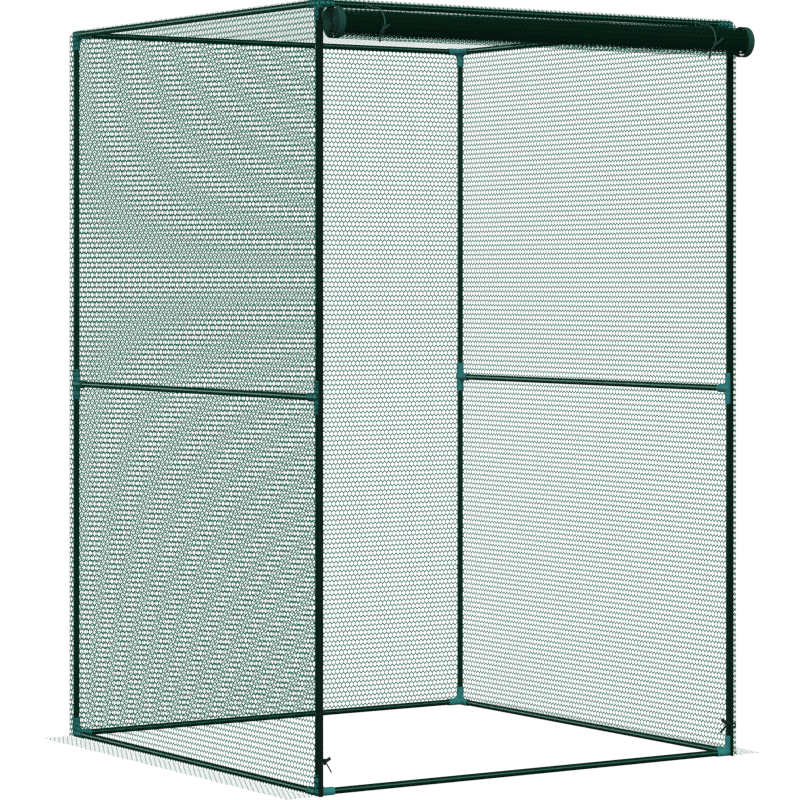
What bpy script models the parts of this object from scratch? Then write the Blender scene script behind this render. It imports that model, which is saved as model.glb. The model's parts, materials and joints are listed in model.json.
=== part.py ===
"""Walk-in crop cage: tube frame with plug-in connectors, net cover and a roll-up net door.

Metres, +Z up. The front, with the door, faces -Y and the left side is -X. The origin is on the ground,
under the middle of the object's outer box.
"""

import math

import bmesh
import bpy
from mathutils import Matrix, Vector

# Frame, measured between tube axes
FRAME_WIDTH = 1.245
FRAME_DEPTH = 1.235
FRAME_HEIGHT = 1.875

# Tubes
TUBE_RADIUS = 0.008
TUBE_WALL = 0.001
ROUND_SIDES = 12

# Moulded connectors
CONNECTOR_WALL = 0.0017
SOCKET_CLEARANCE = 0.0003
CORNER_ARM = 0.042
TEE_ARM = 0.040
SOCKET_STOP = 0.014
WEB_THICKNESS = 0.009
WEB_REACH = 0.026
WEB_EDGE = 0.0075
WEB_ARC_STEPS = 4
FOOT_FLAT_DEPTH = 0.0008
BALL_RELIEF = 0.0003
BALL_TURN = 0.4

# Net cover
NET_OFFSET = 0.018
NET_THICKNESS = 0.0015
SEAM_GAP = 0.0003
NET_BORDER = 0.020
NET_STRAND = 0.010
SIDE_CELLS_ACROSS = 5
SIDE_CELL_ROWS = 9
ROOF_CELLS_ACROSS = 6
ROOF_CELL_ROWS = 6
FLAP_CELLS_ACROSS = 12
FLAP_DROP = 0.030
HANGING_BORDER = 0.002
SKIRT_WIDTH = 0.077
SKIRT_CELLS = 14
SKIRT_BORDER = 0.008
SKIRT_GAP = 0.0006
SKIRT_HINGE_INSET = 0.0004
SKIRT_FOLD = 90
TAPE_WIDTH = 0.014
BAND_ARC_STEPS = 5

# Rolled door
ROLL_RADIUS = 0.040
ROLL_FORWARD = 0.063
ROLL_BELOW_RAIL = 0.049
ROLL_OVERHANG = 0.003
ROLL_TURNS = 5
ROLL_CORE_RADIUS = 0.0035
ROLL_STEPS_A_TURN = 18
ROLL_LAST_TURN_GAP = 0.001
ROLL_SHEET = 0.0016
ROLL_TAPE_SHEET = 0.0024
ROLL_TAPE_WIDTH = 0.018
ROLL_GROUND_CLEARANCE = 0.002
ROLL_TURNS_DOWN = 12

# Ties
ROLL_TIE_RADIUS = 0.0016
ROLL_TIE_INSET = 0.125
ROLL_TIE_START = 80
ROLL_TIE_END = 325
ROLL_TIE_STEPS = 16
ROLL_TIE_KNOT = 200
ROLL_TIE_KNOT_RADIUS = 0.0035
ROLL_TIE_SHORT_TAIL = 0.013
ROLL_TIE_SHORT_TAIL_ANGLE = 37
ROLL_TIE_TAIL_BEND = 220
ROLL_TIE_LONG_TAIL = 0.026
ROLL_TIE_LONG_TAIL_ANGLE = -101
FOOT_TIE_HEIGHT = 0.089
FOOT_TIE_WIDTH = 0.005
FOOT_TIE_THICKNESS = 0.0012
FOOT_TIE_STEPS = 8
FOOT_KNOT_RADIUS = 0.0045
FOOT_TAIL_UP = 0.022
FOOT_TAIL_UP_ANGLE = 27
FOOT_TAIL_DOWN = 0.030
FOOT_TAIL_DOWN_ANGLE = 55
TIE_SLOT_CLEARANCE = 0.0005

# Worked out from the sizes above
CONNECTOR_BORE = TUBE_RADIUS + SOCKET_CLEARANCE
CONNECTOR_RADIUS = CONNECTOR_BORE + CONNECTOR_WALL
FLAT_LEVEL = CONNECTOR_RADIUS - FOOT_FLAT_DEPTH
HALF_WIDTH = FRAME_WIDTH / 2
HALF_DEPTH = FRAME_DEPTH / 2
BOTTOM_Z = FLAT_LEVEL
TOP_Z = BOTTOM_Z + FRAME_HEIGHT
MIDDLE_Z = (BOTTOM_Z + TOP_Z) / 2
NET_X = HALF_WIDTH + NET_OFFSET
NET_Y = HALF_DEPTH + NET_OFFSET
NET_FACE = NET_THICKNESS / 2
ROOF_UNDERSIDE = TOP_Z + FLAT_LEVEL + SEAM_GAP
NET_TOP = ROOF_UNDERSIDE - SEAM_GAP
NET_BOTTOM = SEAM_GAP
ROLL_Z = TOP_Z - ROLL_BELOW_RAIL
ROLL_HALF_LENGTH = HALF_WIDTH + ROLL_OVERHANG
ROLL_Y = -HALF_DEPTH - ROLL_FORWARD
DOOR_WIDTH = 2 * (HALF_WIDTH - TAPE_WIDTH / 2 - SEAM_GAP)
FLAP_BOTTOM = TOP_Z - FLAP_DROP
DOOR_DROP = ROLL_Z - ROLL_RADIUS - ROLL_GROUND_CLEARANCE
SKIRT_HINGE_X = NET_X + NET_FACE + SKIRT_GAP + SKIRT_HINGE_INSET
SKIRT_HINGE_Z = SEAM_GAP + NET_FACE

MERGE_DISTANCE = 0.000005
PARTS = "crop_cage"
CUTTERS = "crop_cage_cutters"

MATERIALS = {
    "tube_paint": ((0.012, 0.055, 0.038), 0.35, 0.0),
    "connector_plastic": ((0.020, 0.140, 0.135), 0.45, 0.0),
    "net_cord": ((0.015, 0.085, 0.062), 0.70, 0.0),
    "binding_tape": ((0.010, 0.045, 0.033), 0.75, 0.0),
    "tie_cord": ((0.008, 0.038, 0.028), 0.80, 0.0),
}


def clear_scene():
    for old in list(bpy.data.objects):
        bpy.data.objects.remove(old, do_unlink=True)


def new_collection(name):
    made = bpy.data.collections.new(name)
    bpy.context.scene.collection.children.link(made)
    return made


def node_material(slot, name):
    """One Principled material for each node, with the slot's colour, roughness and metallic value."""
    colour, roughness, metallic = MATERIALS[slot]
    material = bpy.data.materials.new(slot + "_" + name)
    material.use_nodes = True
    shader = material.node_tree.nodes["Principled BSDF"]
    shader.inputs["Base Color"].default_value = (*colour, 1.0)
    shader.inputs["Roughness"].default_value = roughness
    shader.inputs["Metallic"].default_value = metallic
    material.diffuse_color = (*colour, 1.0)
    return material


def place(mesh, name, slot, location=(0, 0, 0), rotation=(0, 0, 0)):
    """Put a mesh into the parts collection as a node with a mesh and a material of its own."""
    own = mesh.copy()
    own.name = name
    own.materials.clear()
    own.materials.append(node_material(slot, name))
    part = bpy.data.objects.new(name, own)
    part.location = location
    part.rotation_euler = rotation
    bpy.data.collections[PARTS].objects.link(part)
    return part


def smooth(mesh):
    mesh.shade_smooth()
    mesh.set_sharp_from_angle(angle=math.radians(35))
    return mesh


def mesh_of(scratch, name):
    """The evaluated mesh of a scratch object, closed at its caps; the scratch object is removed."""
    bpy.context.view_layer.update()
    graph = bpy.context.evaluated_depsgraph_get()
    mesh = bpy.data.meshes.new_from_object(scratch.evaluated_get(graph), depsgraph=graph)
    mesh.transform(scratch.matrix_world)
    mesh.name = name
    bpy.data.objects.remove(scratch, do_unlink=True)
    work = bmesh.new()
    work.from_mesh(mesh)
    bmesh.ops.remove_doubles(work, verts=work.verts, dist=MERGE_DISTANCE)
    bmesh.ops.recalc_face_normals(work, faces=work.faces)
    work.to_mesh(mesh)
    work.free()
    return mesh


def scratch_object(data, name):
    scratch = bpy.data.objects.new(name, data)
    bpy.data.collections[CUTTERS].objects.link(scratch)
    scratch.hide_render = True
    scratch.display_type = "WIRE"
    return scratch


def curve_object(name, loops, half_thickness):
    """A flat outline with holes: the first loop is the outside, the others are its gaps."""
    curve = bpy.data.curves.new(name, "CURVE")
    curve.dimensions = "2D"
    curve.fill_mode = "BOTH"
    curve.extrude = half_thickness
    for loop in loops:
        spline = curve.splines.new("POLY")
        spline.points.add(len(loop) - 1)
        for point, (u, v) in zip(spline.points, loop):
            point.co = (u, v, 0.0, 1.0)
        spline.use_cyclic_u = True
    return scratch_object(curve, name)


def flat_plate(name, loops, thickness):
    return mesh_of(curve_object(name, loops, thickness / 2), name)


def rod(length, radius, name, start=0.0):
    """A closed cylinder along +Z from start, with an edge on each axis, as the tubes have."""
    work = bmesh.new()
    bmesh.ops.create_cone(
        work,
        cap_ends=True,
        segments=ROUND_SIDES,
        radius1=radius,
        radius2=radius,
        depth=length,
        matrix=Matrix.Translation((0, 0, start + length / 2)),
    )
    mesh = bpy.data.meshes.new(name)
    work.to_mesh(mesh)
    work.free()
    return mesh


TO_AXIS = {
    "+X": Matrix.Rotation(math.pi / 2, 4, "Y"),
    "+Y": Matrix.Rotation(-math.pi / 2, 4, "X"),
    "+Z": Matrix.Identity(4),
    "-Z": Matrix.Rotation(math.pi, 4, "X"),
}


def boolean(target, others, operation):
    """Apply one Boolean after another to the target object and return its mesh."""
    for other in others:
        modifier = target.modifiers.new(operation.lower(), "BOOLEAN")
        modifier.operation = operation
        modifier.solver = "EXACT"
        modifier.object = other
    mesh = mesh_of(target, target.name)
    for other in others:
        bpy.data.objects.remove(other, do_unlink=True)
    return mesh


def web_outline():
    """A quarter web between two arms: square at the arms, hollowed by a round arc."""
    arc_radius = WEB_REACH - WEB_EDGE
    points = [(0.0, 0.0), (WEB_REACH, 0.0)]
    for step in range(WEB_ARC_STEPS + 1):
        angle = math.radians(270 - 90 * step / WEB_ARC_STEPS)
        u = WEB_REACH + arc_radius * math.cos(angle)
        v = WEB_REACH + arc_radius * math.sin(angle)
        points.append((u, v))
    points.append((0.0, WEB_REACH))
    return points


def web(plane):
    """A web in the plane of two arms, named by their axes."""
    u_axis = Vector((1, 0, 0)) if plane[0] == "X" else Vector((0, 1, 0))
    v_axis = {"Y": Vector((0, 1, 0)), "Z": Vector((0, 0, 1)), "-Z": Vector((0, 0, -1))}[plane[1]]
    mesh = flat_plate("web", [web_outline()], WEB_THICKNESS)
    turn = Matrix((u_axis, v_axis, u_axis.cross(v_axis))).transposed().to_4x4()
    mesh.transform(turn)
    return mesh


def connector_mesh(name, arms, planes, arm_length):
    """Arms from one centre, webs between them, a round outer corner and a socket in each arm."""
    core = bmesh.new()
    bmesh.ops.create_uvsphere(
        core,
        u_segments=ROUND_SIDES,
        v_segments=ROUND_SIDES // 2,
        radius=CONNECTOR_RADIUS - BALL_RELIEF,
        matrix=Matrix.Rotation(BALL_TURN, 4, (1, 1, 0)),
    )
    ball = bpy.data.meshes.new(name)
    core.to_mesh(ball)
    core.free()
    body = scratch_object(ball, name)
    additions = []
    for arm in arms:
        mesh = rod(arm_length, CONNECTOR_RADIUS, "arm")
        mesh.transform(TO_AXIS[arm])
        additions.append(scratch_object(mesh, "arm"))
    for plane in planes:
        additions.append(scratch_object(web(plane), "web"))
    solid = scratch_object(boolean(body, additions, "UNION"), name)
    sockets = []
    for arm in arms:
        mesh = rod(arm_length, CONNECTOR_BORE, "socket", start=SOCKET_STOP)
        mesh.transform(TO_AXIS[arm])
        sockets.append(scratch_object(mesh, "socket"))
    return boolean(solid, sockets, "DIFFERENCE")


def corner_connector_mesh():
    """The three-way corner, flat on its underside so that it stands on the ground."""
    arms = ("+X", "+Y", "+Z")
    planes = (("X", "Y"), ("X", "Z"), ("Y", "Z"))
    solid = scratch_object(connector_mesh("corner", arms, planes, CORNER_ARM), "corner")
    ground = bmesh.new()
    bmesh.ops.create_cube(ground, size=1.0)
    block = bpy.data.meshes.new("ground")
    ground.to_mesh(block)
    ground.free()
    side = 3 * CORNER_ARM
    depth = CONNECTOR_RADIUS
    block.transform(Matrix.Diagonal((side, side, depth, 1.0)))
    block.transform(Matrix.Translation((0, 0, -FLAT_LEVEL - depth / 2)))
    return boolean(solid, [scratch_object(block, "ground")], "DIFFERENCE")


def tee_connector_mesh():
    return connector_mesh("tee", ("+Z", "-Z", "+Y"), (("Y", "Z"), ("Y", "-Z")), TEE_ARM)


CORNERS = {
    "front_left": (-1, -1, 0),
    "front_right": (1, -1, 90),
    "back_right": (1, 1, 180),
    "back_left": (-1, 1, 270),
}


def make_connectors():
    corner = smooth(corner_connector_mesh())
    tee = smooth(tee_connector_mesh())
    for label, (side_x, side_y, turn) in CORNERS.items():
        x = side_x * HALF_WIDTH
        y = side_y * HALF_DEPTH
        upright = (0, 0, math.radians(turn))
        upside_down = (math.pi, 0, math.radians(turn + 90))
        inward = (0, 0, 0.0 if side_y < 0 else math.pi)
        place(corner, "corner_bottom_" + label, "connector_plastic", (x, y, BOTTOM_Z), upright)
        place(corner, "corner_top_" + label, "connector_plastic", (x, y, TOP_Z), upside_down)
        place(tee, "tee_middle_" + label, "connector_plastic", (x, y, MIDDLE_Z), inward)


def tube_mesh(length, name):
    """A steel tube along +Z, centred, with an open bore."""
    outer = TUBE_RADIUS
    inner = TUBE_RADIUS - TUBE_WALL
    half = length / 2
    work = bmesh.new()
    outline = ((outer, 0, half), (outer, 0, -half), (inner, 0, -half), (inner, 0, half))
    corners = [work.verts.new(point) for point in outline]
    for index, corner in enumerate(corners):
        work.edges.new((corner, corners[(index + 1) % len(corners)]))
    profile = bpy.data.meshes.new(name)
    work.to_mesh(profile)
    work.free()
    scratch = scratch_object(profile, name)
    screw = scratch.modifiers.new("turn", "SCREW")
    screw.steps = ROUND_SIDES
    screw.render_steps = ROUND_SIDES
    screw.use_merge_vertices = True
    screw.merge_threshold = MERGE_DISTANCE
    return smooth(mesh_of(scratch, name))


def make_tubes():
    """Each tube runs from one socket's stop to the next, with the socket's clearance at each end."""
    end = SOCKET_STOP + SOCKET_CLEARANCE
    half_upright = tube_mesh(FRAME_HEIGHT / 2 - 2 * end, "upright")
    for label, (side_x, side_y, _) in CORNERS.items():
        x = side_x * HALF_WIDTH
        y = side_y * HALF_DEPTH
        place(half_upright, "upright_lower_" + label, "tube_paint", (x, y, (BOTTOM_Z + MIDDLE_Z) / 2))
        place(half_upright, "upright_upper_" + label, "tube_paint", (x, y, (MIDDLE_Z + TOP_Z) / 2))
    cross = tube_mesh(FRAME_WIDTH - 2 * end, "cross_rail")
    along = tube_mesh(FRAME_DEPTH - 2 * end, "side_rail")
    lie_x = (0, math.pi / 2, 0)
    lie_y = (math.pi / 2, 0, 0)
    for level, z in (("bottom", BOTTOM_Z), ("top", TOP_Z)):
        place(cross, level + "_rail_front", "tube_paint", (0, -HALF_DEPTH, z), lie_x)
        place(cross, level + "_rail_back", "tube_paint", (0, HALF_DEPTH, z), lie_x)
    for level, z in (("bottom", BOTTOM_Z), ("middle", MIDDLE_Z), ("top", TOP_Z)):
        place(along, level + "_rail_left", "tube_paint", (-HALF_WIDTH, 0, z), lie_y)
        place(along, level + "_rail_right", "tube_paint", (HALF_WIDTH, 0, z), lie_y)


def hexagon(u, v, half_across, half_tall):
    """A cell with a point up and a point down, and upright sides."""
    shoulder = half_tall / 2
    return [
        (u, v + half_tall),
        (u - half_across, v + shoulder),
        (u - half_across, v - shoulder),
        (u, v - half_tall),
        (u + half_across, v - shoulder),
        (u + half_across, v + shoulder),
    ]


def half_cell(cell, u, side):
    """The half of a cell that lies on one side of its own middle line."""
    return [point for point in cell if side * (point[0] - u) >= 0]


def net_loops(width, height, across, rows, border, strand):
    """An outline with staggered rows of hexagonal gaps, each row ending in half a gap on one side."""
    half_w = width / 2
    half_h = height / 2
    loops = [[(-half_w, -half_h), (half_w, -half_h), (half_w, half_h), (-half_w, half_h)]]
    pitch = (width - 2 * border) / (across + 0.5) if rows > 1 else (width - 2 * border) / across
    rise = (height - 2 * border) / (rows + 1 / 3)
    cell_half_across = (pitch - strand) / 2
    cell_half_tall = rise * 2 / 3 - strand / 2
    for row in range(rows):
        v = -half_h + border + rise * (row + 2 / 3)
        stagger = 0.5 * pitch * (row % 2)
        for column in range(across):
            u = -half_w + border + pitch * (column + 0.5) + stagger
            loops.append(hexagon(u, v, cell_half_across, cell_half_tall))
        if rows > 1 and across > 1:
            u, side = (-half_w + border, 1) if row % 2 else (half_w - border, -1)
            loops.append(half_cell(hexagon(u, v, cell_half_across, cell_half_tall), u, side))
    return loops


def net_plate(name, width, height, across, rows, border=NET_BORDER, strand=NET_STRAND):
    return flat_plate(name, net_loops(width, height, across, rows, border, strand), NET_THICKNESS)


UPRIGHT_FACING_X = (math.pi / 2, 0, math.pi / 2)
UPRIGHT_FACING_Y = (math.pi / 2, 0, 0)


def make_nets():
    """Side nets run the full depth, and the back net fits between them."""
    height = NET_TOP - NET_BOTTOM
    middle = (NET_TOP + NET_BOTTOM) / 2
    back_end = NET_Y + NET_FACE
    front_end = -HALF_DEPTH
    side = net_plate("side_net", back_end - front_end, height, SIDE_CELLS_ACROSS, SIDE_CELL_ROWS)
    side_middle = (back_end + front_end) / 2
    place(side, "net_left", "net_cord", (-NET_X, side_middle, middle), UPRIGHT_FACING_X)
    place(side, "net_right", "net_cord", (NET_X, side_middle, middle), UPRIGHT_FACING_X)
    back_width = 2 * (NET_X - NET_FACE - SEAM_GAP)
    back = net_plate("back_net", back_width, height, SIDE_CELLS_ACROSS, SIDE_CELL_ROWS)
    place(back, "net_back", "net_cord", (0, NET_Y, middle), UPRIGHT_FACING_Y)
    roof_width = 2 * (NET_X + NET_FACE)
    roof_depth = 2 * (NET_Y + NET_FACE)
    roof = net_plate("roof_net", roof_width, roof_depth, ROOF_CELLS_ACROSS, ROOF_CELL_ROWS)
    place(roof, "net_roof", "net_cord", (0, 0, ROOF_UNDERSIDE + NET_FACE))
    flap_height = NET_TOP - FLAP_BOTTOM
    flap = net_plate("flap", DOOR_WIDTH, flap_height, FLAP_CELLS_ACROSS, 1, SKIRT_BORDER, SKIRT_BORDER)
    place(flap, "door_flap", "net_cord", (0, -NET_Y, FLAP_BOTTOM + flap_height / 2), UPRIGHT_FACING_Y)
    skirt = net_plate("skirt", SKIRT_WIDTH, 2 * NET_Y, 1, SKIRT_CELLS, SKIRT_BORDER)
    skirt.transform(Matrix.Translation((SKIRT_WIDTH / 2 - SKIRT_HINGE_INSET, 0, 0)))
    place(skirt, "skirt_left", "net_cord", (-SKIRT_HINGE_X, 0, SKIRT_HINGE_Z), (0, 0, math.pi))
    place(skirt, "skirt_right", "net_cord", (SKIRT_HINGE_X, 0, SKIRT_HINGE_Z))


def ring_part(radius, thickness, start, stop, steps):
    """An open strip's two sides along an arc, outer side first, then back along the inner side."""
    outer = []
    inner = []
    for step in range(steps + 1):
        angle = start + (stop - start) * step / steps
        direction = (math.cos(angle), math.sin(angle))
        outer.append(((radius + thickness / 2) * direction[0], (radius + thickness / 2) * direction[1]))
        inner.append(((radius - thickness / 2) * direction[0], (radius - thickness / 2) * direction[1]))
    return outer, inner


def tie_slot(side, z):
    """The mesh opening that the foot tie passes through, in the round of the edge band."""
    ring_in = TUBE_RADIUS + SEAM_GAP
    clear = TIE_SLOT_CLEARANCE
    work = bmesh.new()
    bmesh.ops.create_cube(work, size=1.0)
    mesh = bpy.data.meshes.new("slot")
    work.to_mesh(mesh)
    work.free()
    width = FOOT_TIE_THICKNESS + 2 * clear
    mesh.transform(Matrix.Diagonal((width, NET_OFFSET, FOOT_TIE_WIDTH + 2 * clear, 1.0)))
    mesh.transform(Matrix.Translation((side * (ring_in + FOOT_TIE_THICKNESS / 2), -NET_OFFSET, z)))
    return scratch_object(mesh, "slot")


def make_edge_bands():
    """The side net's edge turns a quarter round the front upright and ends in a tape in front of it."""
    height = NET_TOP - NET_BOTTOM
    middle = (NET_TOP + NET_BOTTOM) / 2
    for name, side in (("front_edge_band_left", -1), ("front_edge_band_right", 1)):
        outer, inner = ring_part(NET_OFFSET, NET_THICKNESS, math.pi, 1.5 * math.pi, BAND_ARC_STEPS)
        gap = SEAM_GAP
        outer[0] = (outer[0][0], -gap)
        inner[0] = (inner[0][0], -gap)
        tape_end = TAPE_WIDTH / 2
        outer.append((tape_end, -NET_OFFSET - NET_FACE))
        inner.append((tape_end, -NET_OFFSET + NET_FACE))
        loop = [(-side * u, v) for u, v in outer + inner[::-1]]
        solid = scratch_object(flat_plate(name, [loop], height), name)
        slot = tie_slot(side, FOOT_TIE_HEIGHT - middle)
        band = smooth(boolean(solid, [slot], "DIFFERENCE"))
        place(band, name, "binding_tape", (side * HALF_WIDTH, -HALF_DEPTH, middle))


def roll_radius(turn, sheet):
    """The sheet's middle, a number of turns out from the core: evenly out, then one close last turn."""
    outermost = ROLL_RADIUS - sheet / 2
    before_last = outermost - sheet - ROLL_LAST_TURN_GAP
    if turn > ROLL_TURNS - 1:
        return before_last + (outermost - before_last) * (turn - ROLL_TURNS + 1)
    return ROLL_CORE_RADIUS + (before_last - ROLL_CORE_RADIUS) * turn / (ROLL_TURNS - 1)


def spiral_loop(sheet):
    """The rolled sheet's edge: out along its outer side from the core, and back along its inner side."""
    sides = {1: [], -1: []}
    for step in range(ROLL_TURNS * ROLL_STEPS_A_TURN + 1):
        turn = step / ROLL_STEPS_A_TURN
        angle = 2 * math.pi * turn
        for side, points in sides.items():
            reach = roll_radius(turn, sheet) + side * sheet / 2
            points.append((reach * math.cos(angle), reach * math.sin(angle)))
    return sides[1] + sides[-1][::-1]


def print_roll_gap(sheet):
    """The least clear gap between neighbouring turns, measured on the outline's own points."""
    loop = spiral_loop(sheet)
    outer = loop[: len(loop) // 2]
    inner = loop[len(loop) // 2:][::-1]
    least = min(math.dist(near, far) for near, far in zip(outer, inner[ROLL_STEPS_A_TURN:]))
    print(f"roll of a {sheet * 1000:.1f} mm sheet: least gap between turns {least * 1000:.2f} mm")


def make_roll():
    """The rolled net between two rolled binding tapes, all on one axis along X."""
    along_x = (math.pi / 2, 0, math.pi / 2)
    net_length = 2 * (ROLL_HALF_LENGTH - ROLL_TAPE_WIDTH - SEAM_GAP)
    net = smooth(flat_plate("roll", [spiral_loop(ROLL_SHEET)], net_length))
    place(net, "door_roll_net", "net_cord", (0, ROLL_Y, ROLL_Z), along_x)
    tape = smooth(flat_plate("tape", [spiral_loop(ROLL_TAPE_SHEET)], ROLL_TAPE_WIDTH))
    tape_x = ROLL_HALF_LENGTH - ROLL_TAPE_WIDTH / 2
    place(tape, "door_tape_left", "binding_tape", (-tape_x, ROLL_Y, ROLL_Z), along_x)
    place(tape, "door_tape_right", "binding_tape", (tape_x, ROLL_Y, ROLL_Z), along_x)
    print_roll_gap(ROLL_SHEET)
    print_roll_gap(ROLL_TAPE_SHEET)


def make_hanging_net():
    """The short stretch of door net from the flap's lower edge to the back of the roll."""
    top = FLAP_BOTTOM - 2 * SEAM_GAP
    top_y = -NET_Y
    bottom_y = ROLL_Y + ROLL_RADIUS + 2 * SEAM_GAP + NET_FACE
    slant = math.atan2(top_y - bottom_y, top - ROLL_Z)
    length = math.hypot(top - ROLL_Z, top_y - bottom_y)
    hanging = net_plate("hanging", DOOR_WIDTH, length, FLAP_CELLS_ACROSS, 1, HANGING_BORDER, SKIRT_BORDER)
    hanging.transform(Matrix.Translation((0, -length / 2, 0)))
    place(hanging, "door_net_hanging", "net_cord", (0, top_y, top), (math.pi / 2 - slant, 0, 0))


def tube_along(name, points, radius):
    """A closed round cord through the given points."""
    curve = bpy.data.curves.new(name, "CURVE")
    curve.dimensions = "3D"
    curve.bevel_depth = radius
    curve.bevel_resolution = 1
    curve.use_fill_caps = True
    spline = curve.splines.new("POLY")
    spline.points.add(len(points) - 1)
    for point, place_of in zip(spline.points, points):
        point.co = (*place_of, 1.0)
    return smooth(mesh_of(scratch_object(curve, name), name))


def knot_ball(radius, centre, name):
    """A knot's lump, a little flattened."""
    work = bmesh.new()
    bmesh.ops.create_icosphere(work, subdivisions=1, radius=radius)
    mesh = bpy.data.meshes.new(name)
    work.to_mesh(mesh)
    work.free()
    mesh.transform(Matrix.Translation(centre))
    return scratch_object(mesh, name)


def make_roll_ties():
    """A thin cord from the roof's front seam round the roll, knotted in front with two free tails."""
    cord = ROLL_TIE_RADIUS
    wrap = ROLL_RADIUS + cord + SEAM_GAP
    seam_y = -NET_Y - NET_FACE - cord - SEAM_GAP

    def on_roll(x, degrees, lift=0.0):
        angle = math.radians(degrees)
        return Vector((x, ROLL_Y + (wrap + lift) * math.cos(angle), ROLL_Z + (wrap + lift) * math.sin(angle)))

    def leaving(length, degrees):
        """A step in the plane that faces the front, at an angle above level."""
        angle = math.radians(degrees)
        return Vector((length * math.cos(angle), -2 * cord, length * math.sin(angle)))

    for name, side in (("roll_tie_left", -1), ("roll_tie_right", 1)):
        x = side * (HALF_WIDTH - ROLL_TIE_INSET)
        route = [(x, seam_y, TOP_Z - cord), (x, seam_y, TOP_Z + cord)]
        for step in range(ROLL_TIE_STEPS + 1):
            route.append(on_roll(x, ROLL_TIE_START + (ROLL_TIE_END - ROLL_TIE_START) * step / ROLL_TIE_STEPS))
        loop = scratch_object(tube_along(name, route, cord), name)
        knot = on_roll(x, ROLL_TIE_KNOT, cord)
        short_tail = [knot, knot + leaving(ROLL_TIE_SHORT_TAIL, ROLL_TIE_SHORT_TAIL_ANGLE)]
        bend = on_roll(x, ROLL_TIE_TAIL_BEND, 2 * cord)
        long_tail = [knot, bend, bend + leaving(ROLL_TIE_LONG_TAIL, ROLL_TIE_LONG_TAIL_ANGLE)]
        pieces = [
            knot_ball(ROLL_TIE_KNOT_RADIUS, knot, "knot"),
            scratch_object(tube_along("tail", short_tail, cord), "tail"),
            scratch_object(tube_along("tail", long_tail, cord), "tail"),
        ]
        place(smooth(boolean(loop, pieces, "UNION")), name, "tie_cord")


def foot_tie_ring(half_width, front, back):
    """The tape's closed loop seen from above: flat in front, half round behind the tube."""
    points = [(-half_width, front), (half_width, front)]
    for step in range(FOOT_TIE_STEPS + 1):
        angle = math.pi * step / FOOT_TIE_STEPS
        points.append((half_width * math.cos(angle), back * math.sin(angle)))
    return points


def tape_tail(length, width, thickness, degrees, start):
    """A straight flat end of tape in the plane of X and Z, leaving its start at an angle."""
    half = width / 2
    mesh = flat_plate("tail", [[(0, -half), (length, -half), (length, half), (0, half)]], thickness)
    mesh.transform(Matrix.Rotation(math.pi / 2, 4, "X"))
    mesh.transform(Matrix.Rotation(-math.radians(degrees), 4, "Y"))
    mesh.transform(Matrix.Translation(start))
    return scratch_object(mesh, "tail")


def make_foot_ties():
    """A tape round the front upright and the edge band, knotted on the doorway side with two tails."""
    ring_in = TUBE_RADIUS + SEAM_GAP
    front_in = NET_OFFSET + NET_FACE + SEAM_GAP
    thick = FOOT_TIE_THICKNESS
    outer = foot_tie_ring(ring_in + thick, -front_in - thick, ring_in + thick)
    inner = foot_tie_ring(ring_in, -front_in, ring_in)
    for name, side in (("foot_tie_left", -1), ("foot_tie_right", 1)):
        ring = scratch_object(flat_plate(name, [outer, inner], FOOT_TIE_WIDTH), name)
        inward = -side
        knot = Vector((inward * (ring_in + thick + FOOT_KNOT_RADIUS / 2), -front_in / 2, 0))
        up = FOOT_TAIL_UP_ANGLE if inward > 0 else 180 - FOOT_TAIL_UP_ANGLE
        down = -FOOT_TAIL_DOWN_ANGLE if inward > 0 else 180 + FOOT_TAIL_DOWN_ANGLE
        pieces = [
            knot_ball(FOOT_KNOT_RADIUS, knot, "knot"),
            tape_tail(FOOT_TAIL_UP, FOOT_TIE_WIDTH, 2 * thick, up, knot),
            tape_tail(FOOT_TAIL_DOWN, FOOT_TIE_WIDTH / 2, thick, down, knot),
        ]
        tie = smooth(boolean(ring, pieces, "UNION"))
        place(tie, name, "tie_cord", (side * HALF_WIDTH, -HALF_DEPTH, FOOT_TIE_HEIGHT))


def centre_on_ground():
    """Move every part so that the origin lies under the middle of the outer box, and print the move."""
    bpy.context.view_layer.update()
    parts = bpy.data.collections[PARTS].objects
    corners = [part.matrix_world @ Vector(corner) for part in parts for corner in part.bound_box]
    move = Vector((0, 0, 0))
    for axis in (0, 1):
        values = [corner[axis] for corner in corners]
        move[axis] = -(min(values) + max(values)) / 2
    for part in parts:
        part.location += move
    bpy.context.view_layer.update()
    print(f"every part moved by {move.x * 1000:.3f} and {move.y * 1000:.3f} mm along X and Y")
    return move


def print_motions(move):
    """The joints' places and travels, in the finished frame."""
    ratio = 2 * math.pi * ROLL_TURNS_DOWN / DOOR_DROP
    print(f"door drops {DOOR_DROP:.6f} m, roll turns {ROLL_TURNS_DOWN} times, {ratio:.5f} rad/m")
    print(f"roll axis along X through y {ROLL_Y + move.y:.6f} z {ROLL_Z:.6f}")
    print(f"hanging net held at z {FLAP_BOTTOM - 2 * SEAM_GAP:.6f}, ties at z {TOP_Z:.6f}")
    print(f"skirts fold {SKIRT_FOLD} degrees about Y at x {SKIRT_HINGE_X:.6f} z {SKIRT_HINGE_Z:.6f}")


def main():
    clear_scene()
    new_collection(PARTS)
    cutters = new_collection(CUTTERS)
    cutters.hide_render = True
    make_tubes()
    make_connectors()
    make_nets()
    make_edge_bands()
    make_roll()
    make_hanging_net()
    make_roll_ties()
    make_foot_ties()
    print_motions(centre_on_ground())


main()
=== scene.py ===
import json
import math

import bpy
import numpy as np
from mathutils import Matrix, Vector


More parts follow.
